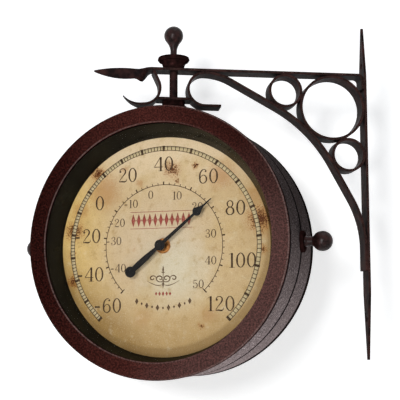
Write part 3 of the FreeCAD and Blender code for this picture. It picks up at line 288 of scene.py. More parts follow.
def painted_wrought_steel(colours):
    """Mild steel strap, bent hot and brushed with near-black paint that has worn to brown on its
    long edges: low gloss, a faint hammered waviness and fine grit."""
    made, add, where = start_material("painted_wrought_steel")
    patches = add("TexNoise", (where, 1 / 9.0, 4.0))
    specks = add("TexNoise", (where, 1 / 1.6, 4.0, 0.7))
    grit = add("TexNoise", (where, 1 / 0.8, 2.0))
    paint = add("ValToRGB", (patches,), ((0.42, colours.bracket_dark), (0.70, "#362220")))
    edge = add("MapRange", (off_middle(add, where), STRAP_HALF_WIDTH - 0.9, STRAP_HALF_WIDTH))
    rubbed = add("MapRange", (specks, 0.42, 0.70, 0.0, 0.7))
    worn = add("Math", (edge, rubbed), operation="MULTIPLY")
    colour = add("Mix", (worn, paint, colours.bracket_worn), data_type="RGBA")
    dust = add("MapRange", (specks, 0.60, 0.78, 0.0, 0.45))
    colour = add("Mix", (dust, colour, "#5f4a44"), data_type="RGBA")
    waves = add("Bump", {"Height": patches, "Distance": 0.35 * MM})
    relief = add("Bump", {"Height": grit, "Distance": 0.10 * MM, "Normal": waves})
    return coat(made, add, colour, specks, 0.38, 0.58, 0.02, relief)


def sand_grain_coat(colours, centre):
    """Spun steel barrel with a charcoal sand-grain powder coat: an even grain of light and dark
    grit with no gloss, and painted shade in black along the seam grooves. Grit and seams are
    drawn coarser than life, so that they show at this size."""
    made, add, where = start_material("sand_grain_powder_coat", centre, (0, 0, TURN))
    grain = add("TexNoise", (where, 1 / 1.5, 2.0, 0.85))
    clouds = add("TexNoise", (where, 1 / 24.0, 3.0))
    colour = add("ValToRGB", (grain,), ((0.34, "#1f1b1b"), (0.52, "#423b3b"), (0.70, "#7b7172")))
    cast = add("MapRange", (clouds, 0.38, 0.66, 0.0, 0.45))
    colour = add("Mix", (cast, colour, colours.barrel), data_type="RGBA")
    along = off_middle(add, where)
    # Painted shade: black along the seam grooves, wider than the grooves themselves.
    for groove, reach in SEAM_GROOVES:
        apart = add("Math", (along, groove), operation="SUBTRACT")
        apart = add("Math", (apart,), operation="ABSOLUTE")
        groove_shade = add("MapRange", (apart, reach * 0.7, reach * 1.5, 0.95, 0.0))
        colour = add("Mix", (groove_shade, colour, "#0a0808"), data_type="RGBA")
    relief = add("Bump", {"Height": grain, "Distance": 0.12 * MM})
    return coat(made, add, colour, grain, 0.42, 0.60, 0.0, relief)


def leather_grain_enamel(colours, centre, rim):
    """Spun steel bezel with a stoved leather-grain enamel in mottled plum: small rounded cells,
    satin, with painted light that brightens it towards the right and low right, painted shade
    at the upper right, painted highlights along its two edges and nearly black on its side. Its
    cells are drawn coarser than the real 1 mm, so that they show at this size."""
    made, add, where = start_material("leather_grain_enamel", centre, (0, 0, TURN))
    mottle = add("TexNoise", (where, 1 / 1.6, 3.0, 0.8))
    cells = add("TexVoronoi", (where, 1 / 1.5))
    colour = add("ValToRGB", (mottle,), ((0.40, colours.bezel_dark), (0.62, colours.bezel_light)))
    high = add("MapRange", (cells, 0.05, 0.30, 0.14, 0.0))
    colour = add("Mix", (high, colour, "#5d3c37"), data_type="RGBA")
    drift = add("TexNoise", (where, 1 / 40.0, 2.0))
    drift = add("MapRange", (drift, 0.3, 0.7, -12, 12))
    # Painted light: these films add colour from the left edge towards the right, and more towards
    # the lower right, so the flat face looks lit from the lower right.
    for toward_light, low, high, film in (((1, 0, 0), -115, -10, "#2b1512"),
                                  ((1, 0, -0.5), 20, 115, "#292524")):
        toward_light = add("VectorMath", (where, toward_light), operation="DOT_PRODUCT")
        toward_light = add("Math", (toward_light, drift))
        toward_light = add("MapRange", (toward_light, low, high), interpolation_type="SMOOTHSTEP")
        colour = add("Mix", (toward_light, colour, film), data_type="RGBA", blend_type="ADD")
    shade = add("MapRange", (mottle, 0.34, 0.66, 0.55, 1.5))
    # Painted shade: the colour is darkened towards the bezel's upper right.
    corner = add("VectorMath", (where, (0.7, 0, 0.7)), operation="DOT_PRODUCT")
    painted_corner_shade = add("MapRange", (corner, 84, 116, 1.0, 0.6))
    shade = add("Math", (shade, painted_corner_shade), operation="MULTIPLY")
    colour = add("VectorMath", (colour, shade), operation="SCALE")
    flat = add("VectorMath", (where, (1, 0, 1)), operation="MULTIPLY")
    radius = add("VectorMath", (flat,), operation="LENGTH")
    across = add("SeparateXYZ", (where,)).outputs["X"]
    # Painted highlights: pale lines along the inner edge, strongest at the left, and along the
    # outer edge, strongest at the right, where the rounded edges would catch a light from the
    # right.
    for edge, start, full in ((rim - EDGE_HIGHLIGHT_INSIDE, 60, -60), (rim - EDGE_HIGHLIGHT_OUTSIDE, -20, 80)):
        near = add("Math", (radius, edge, 0.55), operation="COMPARE")
        rubbed = add("MapRange", (mottle, 0.35, 0.60, 0.05, 0.45))
        share = add("Math", (near, rubbed), operation="MULTIPLY")
        part = add("MapRange", (across, start, full, 0.1, 1.0))
        share = add("Math", (share, part), operation="MULTIPLY")
        colour = add("Mix", (share, colour, "#84706c"), data_type="RGBA")
    side = add("MapRange", (off_middle(add, where), BEZEL_SHOULDER + 0.3, BEZEL_SHOULDER - 0.3,
                            0.0, 0.92))
    colour = add("Mix", (side, colour, "#0c0606"), data_type="RGBA")
    height = add("MapRange", (cells, 0.0, 0.8, 1.0, 0.0))
    grain = add("Bump", {"Height": height, "Distance": 0.22 * MM})
    relief = add("Bump", {"Height": mottle, "Distance": 0.20 * MM, "Normal": grain})
    return coat(made, add, colour, mottle, 0.32, 0.46, 0.0, relief)


def gloss_black_enamel(centre):
    """Pressed steel ring with a deep gloss enamel, black with an olive cast. It mirrors the
    dial, a little blurred where dust has settled."""
    made, add, where = start_material("gloss_black_enamel", centre, (0, 0, TURN))
    drift = add("TexNoise", (where, 1 / 22.0, 3.0))
    dust = add("TexNoise", (where, 1 / 2.0, 3.0))
    colour = add("ValToRGB", (drift,), ((0.35, "#060605"), (0.68, "#13110a")))
    return coat(made, add, colour, dust, 0.15, 0.22, 0.15)


def worn_lacquer(name, colours, gloss):
    """Turned steel knobs with dark brown lacquer, rubbed to a lighter brown where hands touch:
    satin gloss with small pits."""
    made, add, where = start_material(name)
    rubbed = add("TexNoise", (where, 1 / 5.0, 4.0, 0.6))
    pits = add("TexNoise", (where, 1 / 0.8, 2.0))
    colour = add("ValToRGB", (rubbed,), ((0.38, "#170d0c"), (0.62, colours.knob),
                                         (0.76, "#472c2a")))
    relief = add("Bump", {"Height": pits, "Distance": 0.05 * MM})
    return coat(made, add, colour, rubbed, 0.24, 0.36, gloss, relief)


def float_glass():
    """Flat float glass, 2 mm: clear, with a trace of dust. Its mirror of the white room is left
    out, because it is too weak to show and a render of few samples turns it into sparks."""
    made, add, where = start_material("float_glass")
    dust = add("TexNoise", (where, 1 / 7.0, 5.0, 0.7))
    shader = add("BsdfPrincipled", {
        "Base Color": "#20231f", "IOR": 1.5, "Specular IOR Level": 0.0, "Roughness": 0.1,
        "Alpha": add("MapRange", (dust, 0.4, 0.8, 0.025, 0.06))})
    add("OutputMaterial", (shader,))
    return made


def aged_dial_print(name, colours, centre, side, stains):
    """Printed sheet dial with an aged, tea-coloured ground under matt varnish: pale round the
    hub, yellow-brown to the rim, mottled and specked, with rust stains that break up into
    grains at their edges. Painted light lightens it towards the top and left, and a painted
    shadow of the bezel darkens a crescent along the bottom rim."""
    made, add, where = start_material(name, centre, (0, 0, TURN + (math.pi if side > 0 else 0)))
    apart = add("SeparateXYZ", (where,))
    x, z = apart.outputs["X"], apart.outputs["Z"]
    flat = add("CombineXYZ", {"X": x, "Z": z})
    clouds = add("TexNoise", (flat, 1 / 30.0, 4.0))
    blotch = add("TexNoise", (flat, 1 / 9.0, 5.0, 0.65))
    fibre = add("TexNoise", (flat, 1 / 1.3, 3.0, 0.75))
    wander = add("TexNoise", (flat, 1 / 7.0, 5.0, 0.7)).outputs["Color"]
    shift = add("VectorMath", (wander, (0.5, 0.5, 0.5)), operation="SUBTRACT")
    shift = add("VectorMath", (shift, 13.0), operation="SCALE")
    loose = add("VectorMath", (flat, shift))
    from_hub = add("VectorMath", (loose,), operation="LENGTH")
    colour = add("ValToRGB", (add("MapRange", (from_hub, 0, 110)),), (
        (0.22, colours.dial_middle), (0.60, colours.dial_field), (0.82, "#bda276"),
        (0.97, colours.dial_rim)))
    cool = add("VectorMath", (loose, (10, 0, -22)), operation="DISTANCE")
    corner = add("VectorMath", (loose, (-0.7, 0, -0.7)), operation="DOT_PRODUCT")
    # The entries on z towards the top and on x towards the left are painted light: they lighten the
    # paper against the shade the reveal casts there, and the left one also carries the paper's
    # yellow tint.
    for value, low, high, most, tone in (
            (cool, 50, 6, 0.60, "#cfcab2"), (z, 40, 90, 0.60, "#e9d4b2"),
            (x, -45, -90, 0.55, "#e3c070"), (z, -40, -92, 0.45, "#aa884f"),
            (corner, 60, 94, 0.70, "#86652f"),
            (blotch, 0.52, 0.72, 0.55, "#a3834c"), (blotch, 0.45, 0.28, 0.35, "#d9cdb0"),
            (clouds, 0.52, 0.66, 0.35, "#b79a62"), (fibre, 0.54, 0.70, 0.40, "#8d7044"),
            (fibre, 0.46, 0.30, 0.35, "#e2d6bb")):
        share = add("MapRange", (value, low, high, 0.0, most), interpolation_type="SMOOTHSTEP")
        colour = add("Mix", (share, colour, tone), data_type="RGBA")
    # Painted shadow: a crescent along the bottom rim of the dial, where the bezel's lower edge
    # would shade it.
    above = add("VectorMath", (flat, (-2, 0, 7)), operation="DISTANCE")
    painted_rim_shadow = add("MapRange", (above, 99.5, 102.2, 0.0, 0.45))
    colour = add("Mix", (painted_rim_shadow, colour, "#7a5f38"), data_type="RGBA")
    broken = add("MapRange", (fibre, 0.3, 0.7, -0.75, 0.75))
    for sx, sz, radius, strength in stains:
        reach = add("VectorMath", (loose, (sx, 0, sz)), operation="DISTANCE")
        reach = add("Math", (broken, radius, reach), operation="MULTIPLY_ADD")
        halo = add("MapRange", (reach, radius * 1.3, radius * 0.3, 0.0, strength * 0.90),
                   interpolation_type="SMOOTHSTEP")
        colour = add("Mix", (halo, colour, "#a3672a"), data_type="RGBA")
        if strength > 0.6:
            core = add("MapRange", (reach, radius * 0.70, radius * 0.35, 0.0, strength),
                       interpolation_type="SMOOTHSTEP")
            colour = add("Mix", (core, colour, colours.rust), data_type="RGBA")
    relief = add("Bump", {"Height": fibre, "Distance": 0.03 * MM})
    return coat(made, add, colour, fibre, 0.55, 0.75, 0.15, relief, 1.45)


def screen_ink(name, colour, faded, wear):
    """Screen-printed ink, thin and matt, worn through in specks so that the ground shows."""
    made, add, where = start_material(name)
    specks = add("TexNoise", (where, 1 / 0.9, 3.0, 0.7))
    drift = add("TexNoise", (where, 1 / 12.0, 3.0))
    worn = add("Math", (add("MapRange", (specks, 0.48, 0.72, 0.0, wear)),
                        add("MapRange", (drift, 0.35, 0.65, 0.3, 1.0))), operation="MULTIPLY")
    shade = add("Mix", (worn, colour, faded), data_type="RGBA")
    return coat(made, add, shade, specks, 0.6, 0.8, 0.15, ior=1.45)


def blackened_steel():
    """Stamped steel pointer and hands with a satin black stove paint: fine orange peel."""
    made, add, where = start_material("satin_black_stove_paint")
    peel = add("TexNoise", (where, 1 / 0.9, 2.0))
    drift = add("TexNoise", (where, 1 / 9.0, 3.0))
    colour = add("ValToRGB", (drift,), ((0.35, "#080808"), (0.70, "#171413")))
    relief = add("Bump", {"Height": peel, "Distance": 0.02 * MM})
    return coat(made, add, colour, peel, 0.36, 0.50, 0.12, relief)


def turned_metal(name, pale, dark, rough, centre=(0, 0, 0), turn=(0, 0, 0)):
    """Turned or drawn metal, bare or plated: fine rings round its axis from the cutting tool,
    and a thin tarnish."""
    made, add, where = start_material(name, centre, turn)
    drawn = add("VectorMath", (where, (0.25, 4.0, 0.25)), operation="MULTIPLY")
    rings = add("TexNoise", (drawn, 1.0, 2.0))
    tarnish = add("TexNoise", (where, 1 / 4.0, 4.0))
    colour = add("ValToRGB", (tarnish,), ((0.38, pale), (0.70, dark)))
    relief = add("Bump", {"Height": rings, "Distance": 0.02 * MM})
    return coat(made, add, colour, rings, rough * 0.7, rough * 1.3, relief=relief, metal=1.0)


def moulded_plastic(name, light, dark, rough, grain):
    """Injection-moulded plastic with a spark-eroded texture: even, faintly mottled, low gloss."""
    made, add, where = start_material(name)
    texture = add("TexNoise", (where, 1 / grain, 2.0))
    flow = add("TexNoise", (where, 1 / 14.0, 3.0))
    colour = add("ValToRGB", (flow,), ((0.35, dark), (0.68, light)))
    relief = add("Bump", {"Height": texture, "Distance": 0.04 * MM})
    return coat(made, add, colour, texture, rough - 0.06, rough + 0.08, relief=relief)


def printed_cell_sleeve(centre):
    """Shrink sleeve of a round cell: plain grey with one copper-coloured end band, glossy."""
    made, add, where = start_material("printed_cell_sleeve", centre, (0, 0, TURN))
    band = add("MapRange", (add("SeparateXYZ", (where,)), 11.4, 12.0))
    crinkle = add("TexNoise", (where, 1 / 3.0, 3.0))
    body = add("ValToRGB", (crinkle,), ((0.3, "#3a3d42"), (0.7, "#4c5056")))
    colour = add("Mix", (band, body, "#a8683c"), data_type="RGBA")
    relief = add("Bump", {"Height": crinkle, "Distance": 0.04 * MM})
    return coat(made, add, colour, crinkle, 0.22, 0.34, relief=relief)


# Shapes

@contextmanager
def edit_mode():
    """Works on the active object's mesh in edit mode, then goes back to object mode."""
    bpy.ops.object.mode_set(mode="EDIT")
    yield
    bpy.ops.object.mode_set(mode="OBJECT")


def only(target):
    """Selects one object alone and makes it active."""
    bpy.ops.object.select_all(action="DESELECT")
    target.select_set(True)
    bpy.context.view_layer.objects.active = target


def softened_copy(name, edge, body, made):
    """A copy of a CAD node with its sharp edges rounded, which stands for the node."""
    copied = bpy.data.objects.new(name + "_finished", nodes[name].data.copy())
    bpy.context.scene.collection.objects.link(copied)
    only(copied)
    with edit_mode():
        bpy.ops.mesh.select_all(action="SELECT")
        bpy.ops.mesh.remove_doubles(threshold=0.001 * MM)
        bpy.ops.mesh.dissolve_limited(angle_limit=FLAT)
        bpy.ops.mesh.normals_make_consistent(inside=False)
    rounding = copied.modifiers.new("edges", "BEVEL")
    rounding.width = edge
    rounding.segments = 2
    rounding.limit_method = "ANGLE"
    rounding.angle_limit = SHARP
    rounding.use_clamp_overlap = False
    bpy.ops.object.modifier_apply(modifier=rounding.name)
    bpy.ops.object.shade_smooth_by_angle(angle=SMOOTH)
    weighted = copied.modifiers.new("weighted", "WEIGHTED_NORMAL")
    weighted.keep_sharp = True
    bpy.ops.object.modifier_apply(modifier=weighted.name)
    copied.data.materials.clear()
    copied.data.materials.append(made)
    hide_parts(name)
    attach(copied, body)


def on_rod(name):
    """The point of the rod's axis that is as high as the middle of a node."""
    low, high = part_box(name)
    rod_low, rod_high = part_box("pivot_rod")
    return Vector(((rod_low.x + rod_high.x) / 2, 0, (low.z + high.z) / 2))


def dial_place(side, height):
    """Where a print lies on the thermometer's dial (side -1) or the clock's (1): its own x to the
    reader's right, y up, z to the reader."""
    up, outward = Vector((0, 0, 1)), Vector((-math.sin(TURN), math.cos(TURN), 0)) * side
    centre = on_rod("dial_bushing")
    dial = nodes["clock_dial" if side > 0 else "thermometer_dial"]
    depth = max((v.co - centre).dot(outward) for v in dial.data.vertices)
    place = Matrix((up.cross(outward), up, outward)).transposed().to_4x4()
    place.translation = centre + outward * (depth + height)
    return place


def on_circle(angle, radius):
    """A point of a dial, its angle clockwise from the top."""
    return radius * math.sin(angle), radius * math.cos(angle)


class Pen:
    """Draws strokes of changing width on a flat curve, which then becomes a thin mesh."""

    def __init__(self, name):
        self.curve = bpy.data.curves.new(name, "CURVE")
        self.curve.dimensions = "3D"
        self.curve.twist_mode = "Z_UP"
        self.curve.extrude = 1.0
        self.curve.resolution_u = 6
        self.drawn = bpy.data.objects.new(name, self.curve)
        bpy.context.scene.collection.objects.link(self.drawn)

    def stroke(self, kind, points, lift=0.0):
        """Points are x, y and half width, in metres."""
        spline = self.curve.splines.new("POLY" if kind == "line" else "BEZIER")
        held = spline.points if kind == "line" else spline.bezier_points
        held.add(len(points) - 1)
        for point, (x, y, half) in zip(held, points):
            point.co = (x, y, lift, 1) if kind == "line" else (x, y, lift)
            point.radius = half
            point.tilt = math.radians(90)
            if kind != "line":
                point.handle_left_type = point.handle_right_type = "AUTO"
        spline.use_cyclic_u = kind == "loop"

    def word(self, text, x, y, height, turn=0.0, stretch=1.36):
        """Numerals set side by side, centred on x, y and turned about that point."""
        scale = height / 1000
        start = -(sum(NUMERALS[c][0] for c in text) - LETTER_GAP) / 2
        for character in text:
            advance, strokes = NUMERALS[character]
            for level, (kind, points) in enumerate(strokes, 1):
                laid = []
                for px, py, half in points:
                    u, v = (start + px) * scale * stretch, (py - 500) * scale
                    laid.append((x + u * math.cos(turn) - v * math.sin(turn),
                                 y + u * math.sin(turn) + v * math.cos(turn), half * scale))
                self.stroke(kind, laid, level * STROKE_LAYER)
            start += advance

    def arc(self, radius, reach, half, lift=0.0):
        """Part of a circle, as far to the left of its top as to the right."""
        self.stroke("line", [(*on_circle(-reach + 2 * reach * i / ARC_STEPS, radius), half)
                             for i in range(ARC_STEPS + 1)], lift)

    def tick(self, angle, inner, outer, half, lift):
        self.stroke("line", [(*on_circle(angle, r), half) for r in (inner, outer)], lift)

    def lozenge(self, x, y, half_wide, half_tall):
        """Measures in millimetres."""
        self.stroke("line", [((x + u * half_wide) * MM, y * MM, max(v * half_tall, 0.02) * MM)
                             for u, v in ((-1, 0), (0, 1), (1, 0))], LAYER)

    def scrollwork(self, y):
        """Two C scrolls back to back with a leaf between them. Measures in millimetres."""
        for side in (-1, 1):
            for start, turns, reach, drop in ((3.2, 1.35, 7.2, 0.93), (10.2, -1.1, 5.4, 0.75)):
                points = []
                for step in range(15):
                    share = step / 14
                    angle = share * turns * math.tau + 3.4
                    radius = reach * (1 - share) ** 0.8 * 0.55 + 0.5
                    points.append((side * (start + radius * math.cos(angle)) * MM,
                                   (y + radius * math.sin(angle) * 0.8 - drop) * MM,
                                   (0.22 + 0.36 * math.sin(share * math.pi)) * MM))
                self.stroke("curve", points, LAYER)
            self.stroke("curve", [(side * u * MM, (y + v) * MM, half * MM) for u, v, half in (
                (0, -6.5, 0.1), (5, -7.4, 0.4), (11, -5.6, 0.3), (16, -3.0, 0.1))], 3 * LAYER)
        self.stroke("curve", [(0, (y + v) * MM, half * MM) for v, half in (
            (11, 0.05), (7, 0.85), (3, 0.3), (-3, 0.3), (-7, 0.8), (-10, 0.05))], 5 * LAYER)
        for v, wide in ((4.5, 2.2), (-5.5, 1.6)):
            self.stroke("curve", [(u * wide * MM, (y + v + rise) * MM, half * MM) for u, rise, half
                                  in ((-1, 0.6, 0.1), (0, -0.3, 0.35), (1, 0.6, 0.1))], 6 * LAYER)

    def finish(self, place, made, body="drum"):
        """Turns the strokes into a thin closed mesh, laid on a dial."""
        only(self.drawn)
        bpy.context.view_layer.update()
        bpy.ops.object.convert(target="MESH")
        laid = bpy.context.view_layer.objects.active
        film = laid.modifiers.new("ink", "SOLIDIFY")
        film.thickness = INK
        film.offset = 0
        bpy.ops.object.modifier_apply(modifier=film.name)
        with edit_mode():
            bpy.ops.mesh.select_all(action="SELECT")
            bpy.ops.mesh.normals_make_consistent(inside=False)
        laid.matrix_world = place
        bpy.ops.object.transform_apply(location=True, rotation=True, scale=True)
        laid.data.materials.clear()
        laid.data.materials.append(made)
        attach(laid, body)


def print_band(name, side, reach, sizes, made):
    """The cream band under a dial's outer scale."""
    band = Pen(name)
    band.arc(sizes.band_radius - sizes.band_width / 2, reach, sizes.band_width / 2)
    band.finish(dial_place(side, sizes.print_height * BAND_LEVEL), made)


# Operators

class CLOCK_OT_bracket(bpy.types.Operator):
    """Rounds the straps' edges and paints the bracket"""
    bl_idname = "wall_clock.bracket"
    bl_label = "Finish bracket"

    def execute(self, context):
        sizes, colours = context.scene.clock_sizes, context.scene.clock_colours
        paint = painted_wrought_steel(colours)
        for name in ("wall_plate", "top_arm", "brace_strap", "left_scroll", "cross_plate",
                     "big_ring", "upper_small_ring", "lower_small_ring"):
            softened_copy(name, sizes.strap_edge, "bracket", paint)
        finish_with(paint, "pivot_rod")
        return {"FINISHED"}


class CLOCK_OT_drum(bpy.types.Operator):
    """Coats barrel, bezels and reveals, and glazes both sides"""
    bl_idname = "wall_clock.drum"
    bl_label = "Finish drum"

    def execute(self, context):
        colours = context.scene.clock_colours
        middle = on_rod("seam_band")
        low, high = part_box("front_bezel")
        rim = (high.z - low.z) / 2 / MM
        finish_with(sand_grain_coat(colours, middle), "front_shell", "rear_shell", "seam_band")
        finish_with(leather_grain_enamel(colours, middle, rim), "front_bezel", "rear_bezel")
        finish_with(gloss_black_enamel(middle), "front_reveal", "rear_reveal")
        finish_with(float_glass(), "front_lens", "rear_lens")
        return {"FINISHED"}


class CLOCK_OT_knobs(bpy.types.Operator):
    """Lacquers the finial, its cup, the boss and the side knobs"""
    bl_idname = "wall_clock.knobs"
    bl_label = "Finish knobs and finial"

    def execute(self, context):
        colours = context.scene.clock_colours
        finish_with(worn_lacquer("worn_brown_lacquer", colours, 0.12), "top_finial",
                    "left_knob", "right_knob")
        finish_with(worn_lacquer("dull_brown_lacquer", colours, 0.0), "finial_cup", "top_boss",
                    "left_knob_flange", "right_knob_flange")
        return {"FINISHED"}


class CLOCK_OT_thermometer(bpy.types.Operator):
    """Ages and prints the thermometer dial, and finishes its pointer"""
    bl_idname = "wall_clock.thermometer"
    bl_label = "Thermometer side"

    def execute(self, context):
        sizes, colours = context.scene.clock_sizes, context.scene.clock_colours
        centre = on_rod("dial_bushing")
        finish_with(aged_dial_print("aged_printed_dial", colours, centre, -1, STAINS),
                    "thermometer_dial")
        print_band("scale_band_print", -1, sizes.scale_reach, sizes,
                   screen_ink("cream_screen_ink", "#c2b18a", "#a48b5a", 0.9))
        ink = Pen("scale_and_numeral_print")
        self.draw_fahrenheit(ink, sizes)
        self.draw_celsius(ink, sizes)
        ink.finish(dial_place(-1, sizes.print_height),
                   screen_ink("brown_screen_ink", colours.ink, "#927a58", 0.6))
        self.print_ornament(sizes, colours)
        softened_copy("thermometer_pointer", sizes.hand_edge, "pointer",
                      blackened_steel())
        brass = turned_metal("turned_brass_bushing", "#c98a4e", "#7a4a28", 0.34, centre,
                             (0, 0, TURN))
        finish_with(brass, "dial_bushing", "bimetal_coil")
        return {"FINISHED"}

    @staticmethod
    def draw_fahrenheit(ink, sizes):
        """The outer scale, with a bold tick at each ten degrees and fine ones between."""
        reach, outer = sizes.scale_reach, sizes.band_radius
        inner = outer - sizes.band_width
        frame_line, bold, fine, beyond = 0.27 * MM, 1.15 * MM, 0.36 * MM, 0.6 * MM
        for radius in (inner, outer):
            ink.arc(radius, reach, frame_line, LAYER)
        for tens in range(-10, 9):
            step = COLD_STEP if tens < 0 else WARM_STEP
            angle = tens * step
            if abs(angle) <= reach + 0.01:
                ink.tick(angle, inner - beyond, outer + beyond, bold, 3 * LAYER)
            for cell in range(1, CELLS):
                between = angle + step * cell / CELLS
                if abs(between) < reach:
                    ink.tick(between, inner, outer, fine, 2 * LAYER)
        for degrees, angle in FAHRENHEIT.items():
            ink.word(str(degrees), *on_circle(math.radians(angle), sizes.outer_numeral_radius),
                     sizes.outer_numeral)

    @staticmethod
    def draw_celsius(ink, sizes):
        """The inner scale, with a longer mark at every fifth step."""
        circle, step = sizes.inner_circle, 2 * INNER_REACH / INNER_STEPS
        long_mark, short_mark = (3.0 * MM, 0.62 * MM), (2.0 * MM, 0.34 * MM)
        ink.arc(circle, INNER_REACH, 0.32 * MM, LAYER)
        for mark in range(INNER_STEPS + 1):
            length, half = long_mark if mark % 5 == 0 else short_mark
            ink.tick(-INNER_REACH + step * mark, circle, circle + length, half, 2 * LAYER)
        for angle in (-INNER_REACH, INNER_REACH):
            ink.tick(angle, circle - 2.2 * MM, circle + 2.6 * MM, 0.4 * MM, 3 * LAYER)
        for degrees, (x, z) in CELSIUS.items():
            ink.word(str(degrees), x * MM, z * MM, sizes.inner_numeral)

    @staticmethod
    def print_ornament(sizes, colours):
        """Plain lozenges and a scroll, where the photo's dial has lettering."""
        red = Pen("lozenge_band_print")
        for count, half_wide, half_tall in ((11, 2.0, 6.2), (10, 0.5, 1.2)):
            for place in range(count):
                red.lozenge(-2.5 + (place - (count - 1) / 2) * 5.5, 24.5, half_wide, half_tall)
        for height in (16.7, 32.3):
            red.stroke("line", [(x * MM, height * MM, 0.22 * MM) for x in (-33, 28)])
        for place in range(-2, 3):
            red.lozenge(place * 3.4, -44, 1.2, 2.4 - 0.3 * abs(place))
        red.finish(dial_place(-1, sizes.print_height),
                   screen_ink("faded_red_screen_ink", colours.faded_red, "#c09a7c", 0.9))
        brown = Pen("scrollwork_print")
        brown.scrollwork(SCROLL_HEIGHT)
        for place in range(-5, 6):
            brown.lozenge(*on_circle(math.pi - math.radians(place * 5.4), 57),
                          *((1.7, 2.9) if place % 2 else (1.0, 1.4)))
        brown.finish(dial_place(-1, sizes.print_height),
                     screen_ink("thin_brown_screen_ink", "#5b4635", "#a58c67", 0.7))


class CLOCK_OT_clock(bpy.types.Operator):
    """Ages and prints the clock dial, and finishes its hands"""
    bl_idname = "wall_clock.clock"
    bl_label = "Clock side"

    def execute(self, context):
        sizes, colours = context.scene.clock_sizes, context.scene.clock_colours
        centre = on_rod("dial_bushing")
        stains = [(-x * 0.94, z * 0.97 - 4, r, s * 0.8) for x, z, r, s in STAINS[::2]]
        finish_with(aged_dial_print("aged_printed_clock_dial", colours, centre, 1, stains),
                    "clock_dial")
        print_band("minute_band_print", 1, math.pi, sizes,
                   screen_ink("cream_minute_ink", "#c9bb97", "#a89468", 0.8))
        ink = Pen("minute_and_hour_print")
        outer, inner = sizes.band_radius, sizes.band_radius - sizes.band_width
        for radius in (inner, outer):
            ink.arc(radius, math.pi, 0.17 * MM, LAYER)
        for minute in range(60):
            beyond, half = (0.3 * MM, 0.75 * MM) if minute % 5 == 0 else (0, 0.2 * MM)
            ink.tick(math.radians(6 * minute), inner, outer + beyond, half, 2 * LAYER)
        for hour, numeral in enumerate(HOURS):
            angle = math.radians(30 * hour)
            ink.word(numeral, *on_circle(angle, sizes.hour_numeral_radius), sizes.hour_numeral,
                     -angle, 1.0)
        ink.arc(sizes.inner_circle, math.pi, 0.2 * MM, LAYER)
        ink.scrollwork(SCROLL_HEIGHT)
        ink.finish(dial_place(1, sizes.print_height),
                   screen_ink("brown_clock_ink", colours.ink, "#927a58", 0.6))
        black = blackened_steel()
        for name, body in (("hour_hand", "hour"), ("minute_hand", "minute")):
            softened_copy(name, sizes.hand_edge, body, black)
        brass = turned_metal("turned_brass_nut", "#c9a25a", "#7d5f2c", 0.30, centre, (0, 0, TURN))
        finish_with(brass, "hand_nut", "movement_nut", "movement_post")
        return {"FINISHED"}


class CLOCK_OT_works(bpy.types.Operator):
    """Finishes what is inside the drum"""
    bl_idname = "wall_clock.works"
    bl_label = "Finish works"

    def execute(self, context):
        steel = turned_metal("zinc_plated_steel", "#b4b5b3", "#83837f", 0.32)
        finish_with(steel, "rod_washer", "rod_nut", "knob_nuts", "coil_post", "coil_bridge",
                    "pointer_shaft", "battery_contacts")
        case = moulded_plastic("black_moulded_polystyrene", "#1c1c1e", "#0f0f10", 0.45, 0.7)
        finish_with(case, "movement_case", "movement_lid", "dial_spacers", "setting_wheel")
        seal = moulded_plastic("black_nitrile_rubber", "#222222", "#141414", 0.7, 0.5)
        finish_with(seal, "movement_washer")
        low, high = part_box("battery")
        finish_with(printed_cell_sleeve((low + high) / 2), "battery")
        return {"FINISHED"}


def seen_directly(add):
    """1 for the camera, a mirror or glass, 0 for what is only lit by the surface."""
    ray = add("LightPath")
    seen = add("Math", (ray.outputs["Is Camera Ray"], ray.outputs["Is Glossy Ray"]),
               operation="MAXIMUM")
    return add("Math", (seen, ray.outputs["Is Transmission Ray"]), operation="MAXIMUM")


